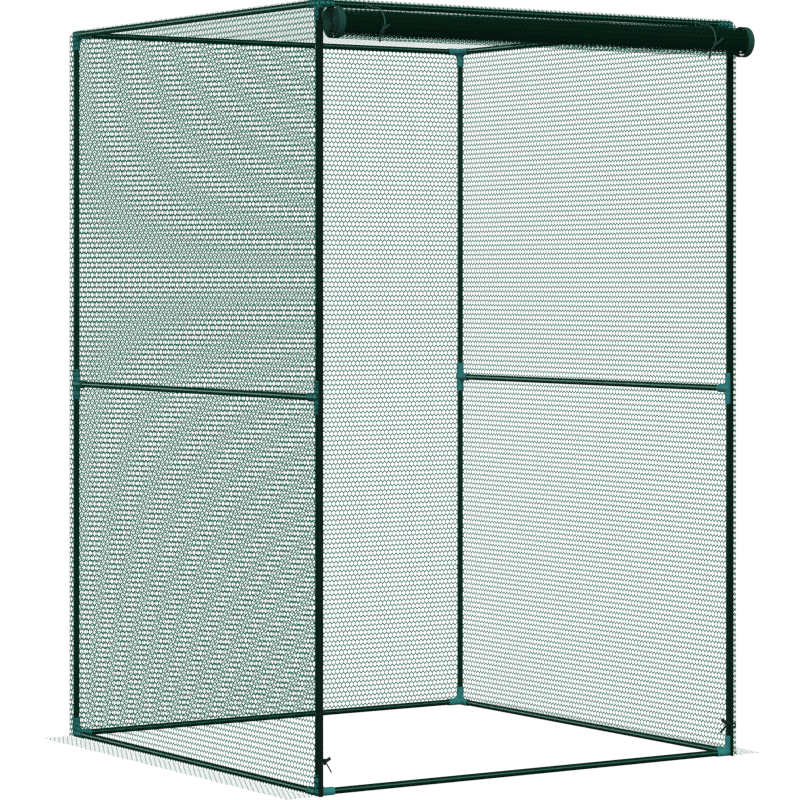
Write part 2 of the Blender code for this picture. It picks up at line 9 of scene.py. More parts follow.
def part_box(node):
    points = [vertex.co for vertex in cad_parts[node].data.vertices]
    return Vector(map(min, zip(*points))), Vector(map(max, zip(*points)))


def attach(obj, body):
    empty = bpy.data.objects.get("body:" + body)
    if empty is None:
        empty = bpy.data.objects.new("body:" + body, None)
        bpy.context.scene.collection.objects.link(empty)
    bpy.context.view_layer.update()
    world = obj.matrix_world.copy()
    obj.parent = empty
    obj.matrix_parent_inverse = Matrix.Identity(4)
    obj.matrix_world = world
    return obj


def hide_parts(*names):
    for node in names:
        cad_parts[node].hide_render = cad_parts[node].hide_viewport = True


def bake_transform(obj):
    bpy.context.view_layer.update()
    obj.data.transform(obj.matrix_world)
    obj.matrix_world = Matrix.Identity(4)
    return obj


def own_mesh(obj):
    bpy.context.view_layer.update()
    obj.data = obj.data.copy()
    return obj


bl_info = {
    "name": "Crop cage",
    "version": (1, 0, 0),
    "blender": (4, 5, 0),
    "location": "3D View > Sidebar > Crop cage",
    "description": "Dresses the crop cage's frame with its tubes, connectors, nets, tapes and ties",
    "category": "Object",
}

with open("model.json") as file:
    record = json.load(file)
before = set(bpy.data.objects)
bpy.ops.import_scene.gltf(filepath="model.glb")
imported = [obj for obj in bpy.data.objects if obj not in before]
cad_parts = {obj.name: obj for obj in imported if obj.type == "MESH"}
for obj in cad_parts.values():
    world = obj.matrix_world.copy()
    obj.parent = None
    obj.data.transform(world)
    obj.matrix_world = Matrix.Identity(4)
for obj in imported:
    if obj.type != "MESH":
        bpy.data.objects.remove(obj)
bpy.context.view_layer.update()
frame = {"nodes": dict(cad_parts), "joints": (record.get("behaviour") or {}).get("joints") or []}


def middle_of(node):
    low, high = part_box(node)
    return (low + high) / 2


# Places taken from the frame
HALF_X = middle_of("upright_lower_front_right").x
FRONT_Y = middle_of("upright_lower_front_right").y
BACK_Y = middle_of("upright_lower_back_right").y
MIDDLE_Y = (FRONT_Y + BACK_Y) / 2
HALF_Y = (BACK_Y - FRONT_Y) / 2
BOTTOM_Z = middle_of("bottom_rail_front").z
MIDDLE_Z = middle_of("middle_rail_left").z
TOP_Z = middle_of("top_rail_front").z
NET_OFFSET = middle_of("net_right").x - HALF_X
ROOF_Z = middle_of("net_roof").z
HANGING_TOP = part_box("door_net_hanging")[1].z
ROLL = middle_of("door_roll_net")
ROLL_RADIUS = (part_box("door_tape_left")[1].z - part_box("door_tape_left")[0].z) / 2
ROLL_HALF_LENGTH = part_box("door_tape_right")[1].x
SKIRT_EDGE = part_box("skirt_right")[1].x - HALF_X
FOOT_TIE_Z = middle_of("foot_tie_left").z
DOOR_DROP = next(joint["range_m"][1] for joint in frame["joints"] if joint["name"] == "door_drop")


def shown(red, green, blue):
    """A colour as it looks on screen, 0 to 255, as the linear values that Blender keeps."""
    shares = [part / 255 for part in (red, green, blue)]
    return tuple(share / 12.92 if share <= 0.04045 else ((share + 0.055) / 1.055) ** 2.4 for share in shares)


def length_setting(name, description, default):
    return bpy.props.FloatProperty(
        name=name, description=description, default=default, unit="LENGTH", subtype="DISTANCE", precision=5
    )


def colour_setting(name, description, default):
    return bpy.props.FloatVectorProperty(
        name=name, description=description, default=default, subtype="COLOR", size=3, min=0.0, max=1.0
    )


class CageSizes(bpy.types.PropertyGroup):
    """Sizes of the cage's soft goods and fittings."""

    cell_across: length_setting("Cell width", "Distance between neighbouring upright strands", 0.01315)
    cell_row: length_setting("Row height", "Distance between neighbouring zigzag rows", 0.01317)
    cell_rise: length_setting("Zigzag height", "How far the zigzag rows go up and down", 0.0056)
    zigzag_strand: length_setting("Zigzag strand", "Width of the strands in the zigzag rows", 0.00235)
    upright_strand: length_setting("Upright strand", "Width of the strands between the rows", 0.0010)
    knot: length_setting("Knot", "How much wider the net is where three strands meet", 0.0004)
    strand_lift: length_setting("Strand lift", "How far a strand's middle stands above its edges", 0.0005)
    skirt_strand: length_setting("Skirt strand", "Width of the ground skirts' strands", 0.0012)
    tape_width: length_setting("Tape width", "Width of the binding tape in front of each upright", 0.010)
    roll_tape_width: length_setting("Roll tape width", "Width of the tape along each side of the door", 0.018)
    tie_diameter: length_setting("Tie cord", "Diameter of the cords that hold the roll", 0.0032)


class CageColours(bpy.types.PropertyGroup):
    """Colours of the cage's finishes and its floor."""

    tube: colour_setting("Tube", "Painted steel tube", shown(5, 30, 20))
    tube_gloss: colour_setting("Tube gloss", "What the painted tube mirrors of the light", (0.22, 1.0, 0.62))
    connector: colour_setting("Connector", "Moulded plastic", shown(40, 124, 121))
    net: colour_setting("Net", "Net strands, by the light that gets through two of them", shown(2, 61, 42))
    net_sheen: colour_setting("Net sheen", "Light that the net's fibres throw back", shown(60, 160, 130))
    # Painted shade: the rolled net's strands get this darker colour for the shade that its layers cast on
    # each other
    rolled: colour_setting("Rolled net", "Net strands that lie in each other's shade", shown(13, 27, 18))
    tape: colour_setting("Tape", "Woven tape along the door's sides", shown(26, 72, 62))
    post_tape: colour_setting("Post tape", "Woven tape in front of the front posts", shown(8, 32, 22))
    tie: colour_setting("Tie", "Tie cords", shown(45, 90, 75))
    # Painted shade: the tie's knot and hanging ends get this darker copy of the tie colour for the roll's
    # shade
    tie_tail: colour_setting("Tie tail", "The cord's hanging ends, in the roll's shade", shown(22, 62, 52))
    floor: colour_setting("Floor", "Floor and backdrop", (1.0, 1.0, 1.0))


def sizes():
    return bpy.context.scene.crop_cage_sizes


def colours():
    return bpy.context.scene.crop_cage_colours


# Materials


class Socket:
    """A socket of a node tree, whose arithmetic in Python adds Math nodes."""

    def __init__(self, shader, link):
        self.shader = shader
        self.link = link

    def maths(self, operation, *values):
        return self.shader.add("ShaderNodeMath", {"operation": operation}, dict(enumerate(values)))[0]

    def __add__(self, other):
        return self.maths("ADD", self, other)

    __radd__ = __add__

    def __sub__(self, other):
        return self.maths("SUBTRACT", self, other)

    def __rsub__(self, other):
        return self.maths("SUBTRACT", other, self)

    def __mul__(self, other):
        return self.maths("MULTIPLY", self, other)

    __rmul__ = __mul__

    def __lt__(self, other):
        return self.maths("LESS_THAN", self, other)

    def __gt__(self, other):
        return self.maths("GREATER_THAN", self, other)

    def __or__(self, other):
        """The greater of the two."""
        return self.maths("MAXIMUM", self, other)

    __ror__ = __or__

    def __abs__(self):
        return self.maths("ABSOLUTE", self)

    def part(self):
        return self.maths("FRACT", self)

    def wave(self, pitch):
        """Between -1 and 1, once for each pitch of this value."""
        return self.maths("SINE", self * (2 * math.pi / pitch))


class Shader:
    """The node tree of a material or the world, with one method that adds any node."""

    def __init__(self, owner):
        owner.use_nodes = True
        self.owner = owner
        self.tree = owner.node_tree
        self.tree.nodes.clear()

    def add(self, kind, settings=None, inputs=None):
        """A node with its settings made first and then its sockets; returns its outputs by name or number."""
        node = self.tree.nodes.new(kind)
        for name, value in (settings or {}).items():
            if name == "stops":
                self.set_stops(node.color_ramp, value)
            else:
                setattr(node, name, value)
        for name, value in (inputs or {}).items():
            if isinstance(value, Socket):
                self.tree.links.new(value.link, node.inputs[name])
            else:
                node.inputs[name].default_value = value
        outputs = {output.name: Socket(self, output) for output in node.outputs}
        outputs.update({index: Socket(self, output) for index, output in enumerate(node.outputs)})
        return outputs

    @staticmethod
    def set_stops(ramp, stops):
        while len(ramp.elements) < len(stops):
            ramp.elements.new(0.5)
        for element, (position, value) in zip(ramp.elements, stops):
            element.position = position
            element.color = (value, value, value, 1.0)

    def place(self, source="Object"):
        return self.add("ShaderNodeTexCoord")[source]

    def sheet_place(self):
        """The place on a sheet or cord: across it and along it."""
        parts = self.add("ShaderNodeSeparateXYZ", None, {0: self.place("UV")})
        return parts[0], parts[1]

    def noise(self, vector, scale, detail=3.0, roughness=0.55):
        inputs = {"Vector": vector, "Scale": scale, "Detail": detail, "Roughness": roughness}
        return self.add("ShaderNodeTexNoise", None, inputs)[0]

    def ramp(self, value, *stops):
        return self.add("ShaderNodeValToRGB", {"stops": stops}, {0: value})[0]

    def mix(self, share, first, second):
        """A colour between two, each a link or three values."""
        inputs = {0: share}
        for socket, colour in ((6, first), (7, second)):
            inputs[socket] = colour if isinstance(colour, Socket) else (*colour, 1.0)
        return self.add("ShaderNodeMix", {"data_type": "RGBA"}, inputs)[2]

    def bump(self, height, distance, strength):
        inputs = {"Height": height, "Distance": distance, "Strength": strength}
        return self.add("ShaderNodeBump", None, inputs)[0]

    def surface(self, inputs):
        shaded = self.add("ShaderNodeBsdfPrincipled", None, inputs)[0]
        self.add("ShaderNodeOutputMaterial", None, {"Surface": shaded})


def scaled(colour, share):
    return tuple(part * share for part in colour)


def tube_paint(shader, colour):
    """Powder coat: a fine ripple, faint handling marks along the tube and small changes of gloss."""
    place = shader.place()
    ripple = shader.noise(place, scale=900.0, detail=2.0)
    marks = shader.noise(place, scale=55.0, detail=6.0, roughness=0.7)
    marks = shader.ramp(marks, (0.56, 0.0), (0.70, 1.0))
    clouds = shader.noise(place, scale=7.0)
    base = shader.mix(clouds, scaled(colour, 0.8), scaled(colour, 1.25))
    base = shader.mix(marks * 0.25, base, scaled(colour, 1.7))
    shader.surface({
        "Base Color": base,
        "Roughness": 0.28 + clouds * 0.06 + marks * 0.05,
        "Specular IOR Level": 1.0,
        "Specular Tint": (*colours().tube_gloss, 1.0),
        "Normal": shader.bump(ripple, distance=0.00006, strength=0.6),
    })


def connector_plastic(shader, colour):
    """Moulded plastic: a grained skin, cloudy flow of colour and paler rubbed places."""
    place = shader.place()
    grain = shader.noise(place, scale=1400.0, detail=2.0)
    clouds = shader.noise(place, scale=38.0, detail=4.0, roughness=0.6)
    rubbed = shader.noise(place, scale=130.0, detail=5.0, roughness=0.7)
    rubbed = shader.ramp(rubbed, (0.55, 0.0), (0.72, 1.0))
    base = shader.mix(clouds, scaled(colour, 0.72), scaled(colour, 1.3))
    base = shader.mix(rubbed * 0.30, base, scaled(colour, 1.8))
    shader.surface({
        "Base Color": base,
        "Roughness": 0.42 + clouds * 0.10 + rubbed * 0.10,
        "Specular IOR Level": 0.2,
        "Normal": shader.bump(grain, distance=0.00005, strength=0.6),
    })


def net_thread(shader, colour, see_through, glow=0.0):
    """Knitted plastic thread: fine fibres, a little change of colour, light that comes through it, and a
    painted glow in its own colour as strong as glow.
    """
    place = shader.place()
    clouds = shader.noise(place, scale=5.0)
    fibres = shader.noise(place, scale=2600.0, detail=2.0)
    base = shader.mix(clouds, scaled(colour, 0.85), scaled(colour, 1.15))
    base = shader.mix(fibres * 0.3, base, scaled(colour, 1.4))
    shader.surface({
        "Base Color": base,
        "Roughness": 0.72 + fibres * 0.15,
        "Transmission Weight": see_through,
        "IOR": 1.0,
        "Sheen Weight": 0.15,
        "Sheen Roughness": 0.6,
        "Sheen Tint": (*colours().net_sheen, 1.0),
        # Painted glow: the thread gives off light in its own colour, as strong as glow; only the roll's core
        # is given any
        "Emission Color": (*colour, 1.0),
        "Emission Strength": glow,
        "Normal": shader.bump(fibres, distance=0.00012, strength=0.7),
    })


RIB_PITCH = 0.0011
THREAD_PITCH = 0.0008
STITCH_LINE = 0.0048
STITCH_WIDTH = 0.00045
STITCH_PITCH = 0.0036
STITCH_SHARE = 0.7


def binding_tape(shader, colour):
    """Woven tape: ribs across, threads along, and a stitched line on each side of its middle."""
    across, along = shader.sheet_place()
    weave = along.wave(RIB_PITCH) * across.wave(THREAD_PITCH)
    from_line = abs(abs(across) - STITCH_LINE)
    stitch = (from_line < STITCH_WIDTH) * ((along * (1 / STITCH_PITCH)).part() < STITCH_SHARE)
    clouds = shader.noise(shader.place(), scale=11.0)
    base = shader.mix(clouds, scaled(colour, 0.75), scaled(colour, 1.2))
    base = shader.mix(weave * 0.18 + 0.18, base, scaled(colour, 0.45))
    base = shader.mix(stitch * 0.7, base, scaled(colour, 1.9))
    shader.surface({
        "Base Color": base,
        "Roughness": 0.62 + clouds * 0.12,
        "Specular IOR Level": 0.1,
        "Normal": shader.bump(weave * 0.5 + stitch * 2.0, distance=0.0002, strength=0.7),
    })


CORD_LAY = 0.0042
CORD_STRANDS = 3


def tie_cord(shader, colour):
    """Twisted cord: strands that wind round it, by the place along and round the cord."""
    around, along = shader.sheet_place()
    lay = (along * (1 / CORD_LAY) + around * CORD_STRANDS).wave(1.0) * 0.5 + 0.5
    fibres = shader.noise(shader.place(), scale=1900.0, detail=2.0)
    base = shader.mix(lay, scaled(colour, 0.45), scaled(colour, 1.25))
    base = shader.mix(fibres * 0.3, base, scaled(colour, 1.6))
    shader.surface({
        "Base Color": base,
        "Roughness": 0.7,
        "Specular IOR Level": 0.2,
        "Normal": shader.bump(lay + fibres * 0.3, distance=0.0003, strength=0.8),
    })


# How much light comes through the nets; how much darker the loose net and the foot ties are painted, as
# painted shade; and how strongly the rolled net's core is painted to glow, lifting its shade
NET_SEE_THROUGH = 0.8
LOOSE_SEE_THROUGH = 0.75
LOOSE_SHADE = 0.8
ROLL_PAINTED_GLOW = 0.35
FOOT_TIE_SHADE = 0.22


def finish(name):
    """The material of a finish, made when it is first asked for."""
    found = bpy.data.materials.get(name)
    if found is not None and found.get("cage_finish"):
        return found
    if found is not None:
        found.name = "frame_" + name
    paint = colours()
    maker, *settings = {
        "tube_paint": (tube_paint, paint.tube),
        "connector_plastic": (connector_plastic, paint.connector),
        "net_cord": (net_thread, paint.net, NET_SEE_THROUGH),
        # Painted shade: the loose outer turn of the roll gets the net colour made darker
        "loose_net": (net_thread, scaled(paint.net, LOOSE_SHADE), LOOSE_SEE_THROUGH),
        # Painted shade and painted glow: the roll's core gets a dark net colour that glows a little, with no
        # light through it
        "rolled_net": (net_thread, paint.rolled, 0.0, ROLL_PAINTED_GLOW),
        "binding_tape": (binding_tape, paint.tape),
        "post_tape": (binding_tape, paint.post_tape),
        "tie_cord": (tie_cord, paint.tie),
        # Painted shade: the tie's knot and tails get a darker tie colour
        "tie_tail": (tie_cord, paint.tie_tail),
        # Painted shade: the foot ties get the tie colour made much darker
        "foot_tie_tape": (tie_cord, scaled(paint.tie, FOOT_TIE_SHADE)),
    }[name]
    material = bpy.data.materials.new(name)
    maker(Shader(material), *settings)
    material["cage_finish"] = True
    return material


# Pieces

SIDES = (("left", -1), ("right", 1))


def nothing_selected():
    if bpy.context.object is not None and bpy.context.object.mode != "OBJECT":
        bpy.ops.object.mode_set(mode="OBJECT")
    bpy.ops.object.select_all(action="DESELECT")


def work_on(piece):
    nothing_selected()
    bpy.context.view_layer.objects.active = piece
    piece.select_set(True)


def use_modifier(piece, kind, **settings):
    work_on(piece)
    modifier = piece.modifiers.new(kind.lower(), kind)
    for name, value in settings.items():
        setattr(modifier, name, value)
    bpy.ops.object.modifier_apply(modifier=modifier.name)


def edit_whole(piece, operation, **settings):
    """Run one of edit mode's operators on all of a piece."""
    work_on(piece)
    bpy.ops.object.mode_set(mode="EDIT")
    bpy.ops.mesh.select_all(action="SELECT")
    operation(**settings)
    bpy.ops.object.mode_set(mode="OBJECT")


def remove(piece):
    bpy.data.objects.remove(piece, do_unlink=True)


def cut(piece, tool):
    """Take the tool's form out of the piece, and then the tool away."""
    use_modifier(piece, "BOOLEAN", operation="DIFFERENCE", object=tool, solver="EXACT")
    remove(tool)


def cylinder(radius, depth, sides, place, turn, ends="NGON"):
    nothing_selected()
    bpy.ops.mesh.primitive_cylinder_add(
        vertices=sides, radius=radius, depth=depth, location=place, rotation=turn, end_fill_type=ends
    )
    return bpy.context.object


def joined(parts):
    """One object made of several, under the last one's name."""
    nothing_selected()
    for part in parts:
        part.select_set(True)
    bpy.context.view_layer.objects.active = parts[-1]
    bpy.ops.object.join()
    return parts[-1]


def keep(piece, name, material, body=None, nodes=()):
    """Name a finished piece, give it its finish and body, and hide the solids that it stands for."""
    work_on(piece)
    bpy.ops.object.transform_apply(location=True, rotation=True, scale=True)
    piece.name = name
    piece.data.name = name
    piece.data.materials.clear()
    piece.data.materials.append(finish(material))
    if body is not None:
        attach(piece, body)
    if nodes:
        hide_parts(*nodes)


def linked(name, mesh):
    piece = bpy.data.objects.new(name, mesh)
    bpy.context.scene.collection.objects.link(piece)
    return piece


def piece_from(name, points, faces, corner_uv):
    """A smooth piece from points, faces and a UV pair for each corner of each face."""
    mesh = bpy.data.meshes.new(name)
    mesh.from_pydata(np.asarray(points, float).tolist(), [], faces)
    mesh.update()
    layer = mesh.uv_layers.new(name="sheet")
    layer.data.foreach_set("uv", np.asarray(corner_uv, np.float32).ravel())
    mesh.shade_smooth()
    return linked(name, mesh)


def net_from(name, x, y, z, flat, faces):
    """A net whose points stand at x, y and z, with their flat places as its UV map."""
    return piece_from(name, np.stack([x, y, z], -1), faces.tolist(), flat[faces.ravel(), :2])


# Tubes

TUBE_SIDES = 32
TUBE_WALL = 0.001
TUBE_EDGE = math.radians(40)
# How a cylinder turns to lie along x, y or z
TURN_TO = {0: (0, math.pi / 2, 0), 1: (math.pi / 2, 0, 0), 2: (0, 0, 0)}


class CAGE_OT_tubes(bpy.types.Operator):
    """Add a smooth hollow tube in the place of each tube of the frame"""

    bl_idname = "crop_cage.tubes"
    bl_label = "Tubes"

    def execute(self, context):
        for node in sorted(frame["nodes"]):
            if "_rail_" in node or node.startswith("upright_"):
                self.add_tube(node)
        return {"FINISHED"}

    @staticmethod
    def add_tube(node):
        low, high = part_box(node)
        size = high - low
        axis = max(range(3), key=lambda index: size[index])
        tube = cylinder(
            min(size) / 2, size[axis], TUBE_SIDES, (low + high) / 2, TURN_TO[axis], ends="NOTHING"
        )
        use_modifier(tube, "SOLIDIFY", thickness=TUBE_WALL, offset=-1.0)
        bpy.ops.object.shade_smooth_by_angle(angle=TUBE_EDGE)
        name = node.replace("rail", "tube").replace("upright", "post")
        keep(tube, name, "tube_paint", "cage", [node])


# Connectors

BORE = 0.0083
ARM_RADIUS = 0.010
ARM_SIDES = 48
# The tee's level arm is a little wider, and starts just behind the middle
LEVEL_ARM_RADIUS = 0.0107
LEVEL_ARM_START = -0.0080
CORNER_ARM = 0.042
TEE_ARM = 0.040
SOCKET_STOP = 0.014
WEB_THICKNESS = 0.009
WEB_REACH = 0.026
WEB_EDGE = 0.0075
WEB_SIDES = 96
MOULD_VOXEL = 0.0006
MOULD_SMOOTHING = 10
MOULD_FACES_KEPT = 0.16
MOULD_EDGE = math.radians(38)
FOOT_LEVEL = 0.0092
ARM_TURNS = {
    "+X": Matrix.Rotation(math.pi / 2, 4, "Y"),
    "+Y": Matrix.Rotation(-math.pi / 2, 4, "X"),
    "+Z": Matrix.Identity(4),
    "-Z": Matrix.Rotation(math.pi, 4, "X"),
}
CORNER_ARMS = ("+X", "+Y", "+Z")
CORNER_WEBS = ((1, 1, 0), (1, 0, 1), (0, 1, 1))
CORNER_TURNS = {"front_left": 0, "front_right": 90, "back_right": 180, "back_left": 270}
TEE_ARMS = ("+Z", "-Z", "+Y")
TEE_WEBS = ((0, 1, 1), (0, 1, -1))


class CAGE_OT_connectors(bpy.types.Operator):
    """Mould one corner connector and one tee, and set a copy in each of their places"""

    bl_idname = "crop_cage.connectors"
    bl_label = "Connectors"

    def execute(self, context):
        corner = self.moulding({arm: (ARM_RADIUS, 0.0) for arm in CORNER_ARMS}, CORNER_ARM, CORNER_WEBS)
        self.flatten_foot(corner)
        self.open_sockets(corner, CORNER_ARMS, CORNER_ARM)
        tee_arms = {arm: (ARM_RADIUS, 0.0) for arm in TEE_ARMS}
        tee_arms["+Y"] = (LEVEL_ARM_RADIUS, LEVEL_ARM_START)
        tee = self.moulding(tee_arms, TEE_ARM, TEE_WEBS)
        self.open_sockets(tee, TEE_ARMS, TEE_ARM)
        for label, turn in CORNER_TURNS.items():
            x = HALF_X if "right" in label else -HALF_X
            y = BACK_Y if "back" in label else FRONT_Y
            about = Matrix.Rotation(math.radians(turn), 4, "Z")
            over = Matrix.Rotation(math.radians(turn + 90), 4, "Z") @ Matrix.Rotation(math.pi, 4, "X")
            inward = Matrix.Rotation(math.pi if "back" in label else 0.0, 4, "Z")
            for node, source, z, turned in (
                ("corner_bottom_" + label, corner, BOTTOM_Z, about),
                ("corner_top_" + label, corner, TOP_Z, over),
                ("tee_middle_" + label, tee, MIDDLE_Z, inward),
            ):
                mesh = source.data.copy()
                mesh.transform(Matrix.Translation((x, y, z)) @ turned)
                name = node.replace("corner", "corner_joint").replace("tee", "tee_joint")
                keep(linked(node, mesh), name, "connector_plastic", "cage", [node])
        remove(corner)
        remove(tee)
        return {"FINISHED"}

    @staticmethod
    def add_rod(arm, radius, start, stop):
        turn = ARM_TURNS[arm]
        middle = turn @ Vector((0, 0, (start + stop) / 2))
        return cylinder(radius, stop - start, ARM_SIDES, middle, turn.to_euler())

    @staticmethod
    def add_web(corner):
        """A plate between two arms with its free corner hollowed by a round."""
        size = Vector([WEB_THICKNESS if part == 0 else WEB_REACH for part in corner])
        nothing_selected()
        bpy.ops.mesh.primitive_cube_add(size=1.0, location=Vector(corner) * (WEB_REACH / 2), scale=size)
        plate = bpy.context.object
        radius = WEB_REACH - WEB_EDGE
        middle = Vector(corner) * WEB_REACH
        cut(plate, cylinder(radius, 2 * WEB_THICKNESS, WEB_SIDES, middle, TURN_TO[corner.index(0)]))
        return plate

    def moulding(self, arms, reach, webs):
        """Arms, webs and a round middle, grown into one body with soft moulded corners."""
        parts = [self.add_rod(arm, radius, start, reach) for arm, (radius, start) in arms.items()]
        parts += [self.add_web(corner) for corner in webs]
        nothing_selected()
        bpy.ops.mesh.primitive_uv_sphere_add(segments=32, ring_count=16, radius=ARM_RADIUS)
        body = joined(parts + [bpy.context.object])
        bpy.ops.object.transform_apply(location=True, rotation=True, scale=True)
        body.data.remesh_voxel_size = MOULD_VOXEL
        bpy.ops.object.voxel_remesh()
        use_modifier(body, "SMOOTH", factor=0.5, iterations=MOULD_SMOOTHING)
        use_modifier(body, "DECIMATE", ratio=MOULD_FACES_KEPT)
        return body

    @staticmethod
    def flatten_foot(body):
        edit_whole(body, bpy.ops.mesh.bisect, plane_co=(0, 0, -FOOT_LEVEL), plane_no=(0, 0, -1),
                   use_fill=True, clear_outer=True)

    def open_sockets(self, body, arms, reach):
        for arm in arms:
            cut(body, self.add_rod(arm, BORE, SOCKET_STOP, reach + WEB_THICKNESS))
        work_on(body)
        bpy.ops.object.shade_smooth_by_angle(angle=MOULD_EDGE)


# Nets


def flat_net(cells, rows, across, pitch, zigzag=None, upright=None, high=None):
    """A flat net of ribbons with raised middles: points (u, v, lift) and faces of four.

    Each meeting of three strands has four points: its middle, its tip at the zigzag's bend, and the left and
    the right foot of its upright strand.
    """
    net = sizes()
    high = net.strand_lift if high is None else high
    rise = pitch * net.cell_rise / net.cell_row
    slope = math.atan2(rise, across / 2)
    half_zigzag = (zigzag or net.zigzag_strand) / 2 / math.cos(slope)
    half_upright = (upright or net.upright_strand) / 2
    half_knot = half_upright + net.knot
    tip = half_zigzag + net.knot
    foot = half_zigzag - half_upright * math.tan(slope) + net.knot / 2
    columns = 2 * cells + 1
    column, row = np.meshgrid(np.arange(columns), np.arange(rows))
    upper = (column + row) % 2 == 1
    way = np.where(upper, 1.0, -1.0)
    u = column * across / 2
    v = (row + 0.5) * pitch + way * rise / 2
    level = np.zeros_like(u)
    meetings = np.array([
        (u, v, level + high),
        (u, v - way * tip, level),
        (u - half_knot, v + way * foot, level),
        (u + half_knot, v + way * foot, level),
    ])
    points = [meetings.transpose(2, 3, 0, 1).reshape(-1, 3)]
    number = np.arange(rows * columns).reshape(rows, columns) * 4
    near, far, down = number[:, :-1], number[:, 1:], upper[:, :-1]
    faces = [
        (near, far, far + np.where(down, 1, 2), near + np.where(down, 3, 1)),
        (near + np.where(down, 1, 3), far + np.where(down, 2, 1), far, near),
    ]
    # Each upright strand goes from three points below to three above: left, middle and right
    feet = np.stack([number + 2, number, number + 3], -1)
    below_row, below_column = np.nonzero(upper[:-1])
    below, above, places = [feet[:-1][upper[:-1]]], [feet[below_row + 1, below_column]], [below_column]
    count = rows * columns * 4
    for edge_row, edge_v, inner, outer in ((0, 0.0, above, below), (-1, rows * pitch, below, above)):
        picked = np.flatnonzero(upper[edge_row] == (edge_v > 0))
        middle = picked * across / 2
        flush = np.zeros_like(middle)
        points.append(np.array([
            (middle - half_upright, flush + edge_v, flush),
            (middle, flush + edge_v, flush + high),
            (middle + half_upright, flush + edge_v, flush),
        ]).transpose(2, 0, 1).reshape(-1, 3))
        inner.append(feet[edge_row, picked])
        outer.append(count + np.arange(3 * len(picked)).reshape(-1, 3))
        places.append(picked)
        count += 3 * len(picked)
    below, above, places = (np.concatenate(values) for values in (below, above, places))
    for left, has_half in ((0, places > 0), (1, places < columns - 1)):
        start, stop = below[has_half].T, above[has_half].T
        faces.append((start[left], start[left + 1], stop[left + 1], stop[left]))
    faces = np.concatenate([np.stack(corners, -1).reshape(-1, 4) for corners in faces])
    used, renumbered = np.unique(faces, return_inverse=True)
    return np.concatenate(points)[used], renumbered.reshape(-1, 4)


def ripple(u, v, height):
    """The small slackness of a stretched net: long shallow waves, in metres."""
    return height * (np.sin(17.3 * u + 1.1) * np.sin(9.7 * v + 0.4) + 0.5 * np.sin(31.0 * u + 12.1 * v))


def eased(share):
    """From 0 to 1 with a soft start and end."""
    share = np.clip(share, 0, 1)
    return share * share * (3 - 2 * share)


class Path:
    """A line seen from above round the cage's posts, which stands off from them by any distance."""

    def __init__(self, *stops):
        """stops are (x, y, facing in degrees), in order, counterclockwise seen from above."""
        self.x, self.y, facing = (np.array(values, float) for values in zip(*stops))
        self.facing = np.radians(facing)
        turned = np.abs(np.diff(self.facing)) * NET_OFFSET
        run = np.hypot(np.diff(self.x), np.diff(self.y))
        self.along = np.concatenate([[0.0], np.cumsum(turned + run)])
        self.length = self.along[-1]

    def at(self, u, off):
        x, y, facing = (np.interp(u, self.along, values) for values in (self.x, self.y, self.facing))
        return x + off * np.cos(facing), y + off * np.sin(facing)


class Profile:
    """How a net stands off from the posts on its way up: (off, z) pairs, from the bottom."""

    # How far below and above a place its slope is taken
    STEP = 0.002

    def __init__(self, *stops):
        self.off, self.z = (np.array(values, float) for values in zip(*stops))
        steps = np.hypot(np.diff(self.off), np.diff(self.z))
        self.along = np.concatenate([[0.0], np.cumsum(steps)])
        self.length = self.along[-1]

    def on_line(self, v):
        return np.interp(v, self.along, self.off), np.interp(v, self.along, self.z)

    def at(self, v, lift):
        low_off, low_z = self.on_line(np.clip(v - self.STEP, 0, self.length))
        high_off, high_z = self.on_line(np.clip(v + self.STEP, 0, self.length))
        run, rise = high_off - low_off, high_z - low_z
        size = np.hypot(run, rise)
        off, z = self.on_line(v)
        return off + lift * rise / size, z - lift * run / size


ROOF_EDGE = 0.0066
SLOPE_START = TOP_Z - 0.004
FLARE_TOP = 0.020
FLARE_REACH = 0.0200
GROUND = 0.0008
WALL = (NET_OFFSET, SLOPE_START), (ROOF_EDGE, ROOF_Z)
SIDE_PROFILE = Profile((FLARE_REACH, GROUND), (NET_OFFSET, FLARE_TOP), *WALL)
BACK_PROFILE = Profile((NET_OFFSET, GROUND), *WALL)
SIDE_ROWS = 144
FRONT_RIGHT, BACK_RIGHT = (HALF_X, FRONT_Y), (HALF_X, BACK_Y)
BACK_LEFT, FRONT_LEFT = (-HALF_X, BACK_Y), (-HALF_X, FRONT_Y)
WALL_PATHS = {
    "right": Path((*FRONT_RIGHT, -90), (*FRONT_RIGHT, 0), (*BACK_RIGHT, 0), (*BACK_RIGHT, 45)),
    "back": Path((*BACK_RIGHT, 45), (*BACK_RIGHT, 90), (*BACK_LEFT, 90), (*BACK_LEFT, 135)),
    "left": Path((*BACK_LEFT, 135), (*BACK_LEFT, 180), (*FRONT_LEFT, 180), (*FRONT_LEFT, 270)),
}
# How far a wall's net waves, and how far in from its edges and up from the ground it is calmed
SLACK = 0.0007
CALM_EDGE = 0.08
CALM_FOOT = 0.15
# A net's strands cover this share of it
COVERED = 0.3
ROOF_SAG = 0.004
ROOF_RISE = 0.0025
ROOF_RISE_RUN = 0.1
ROOF_STRAND = 0.00145
ROOF_UPRIGHT = 0.0007
ROOF_LIFT = 0.0001


def whole_cells(length):
    return round(length / sizes().cell_across)


def declare_net(width, length):
    COVERED * width * length


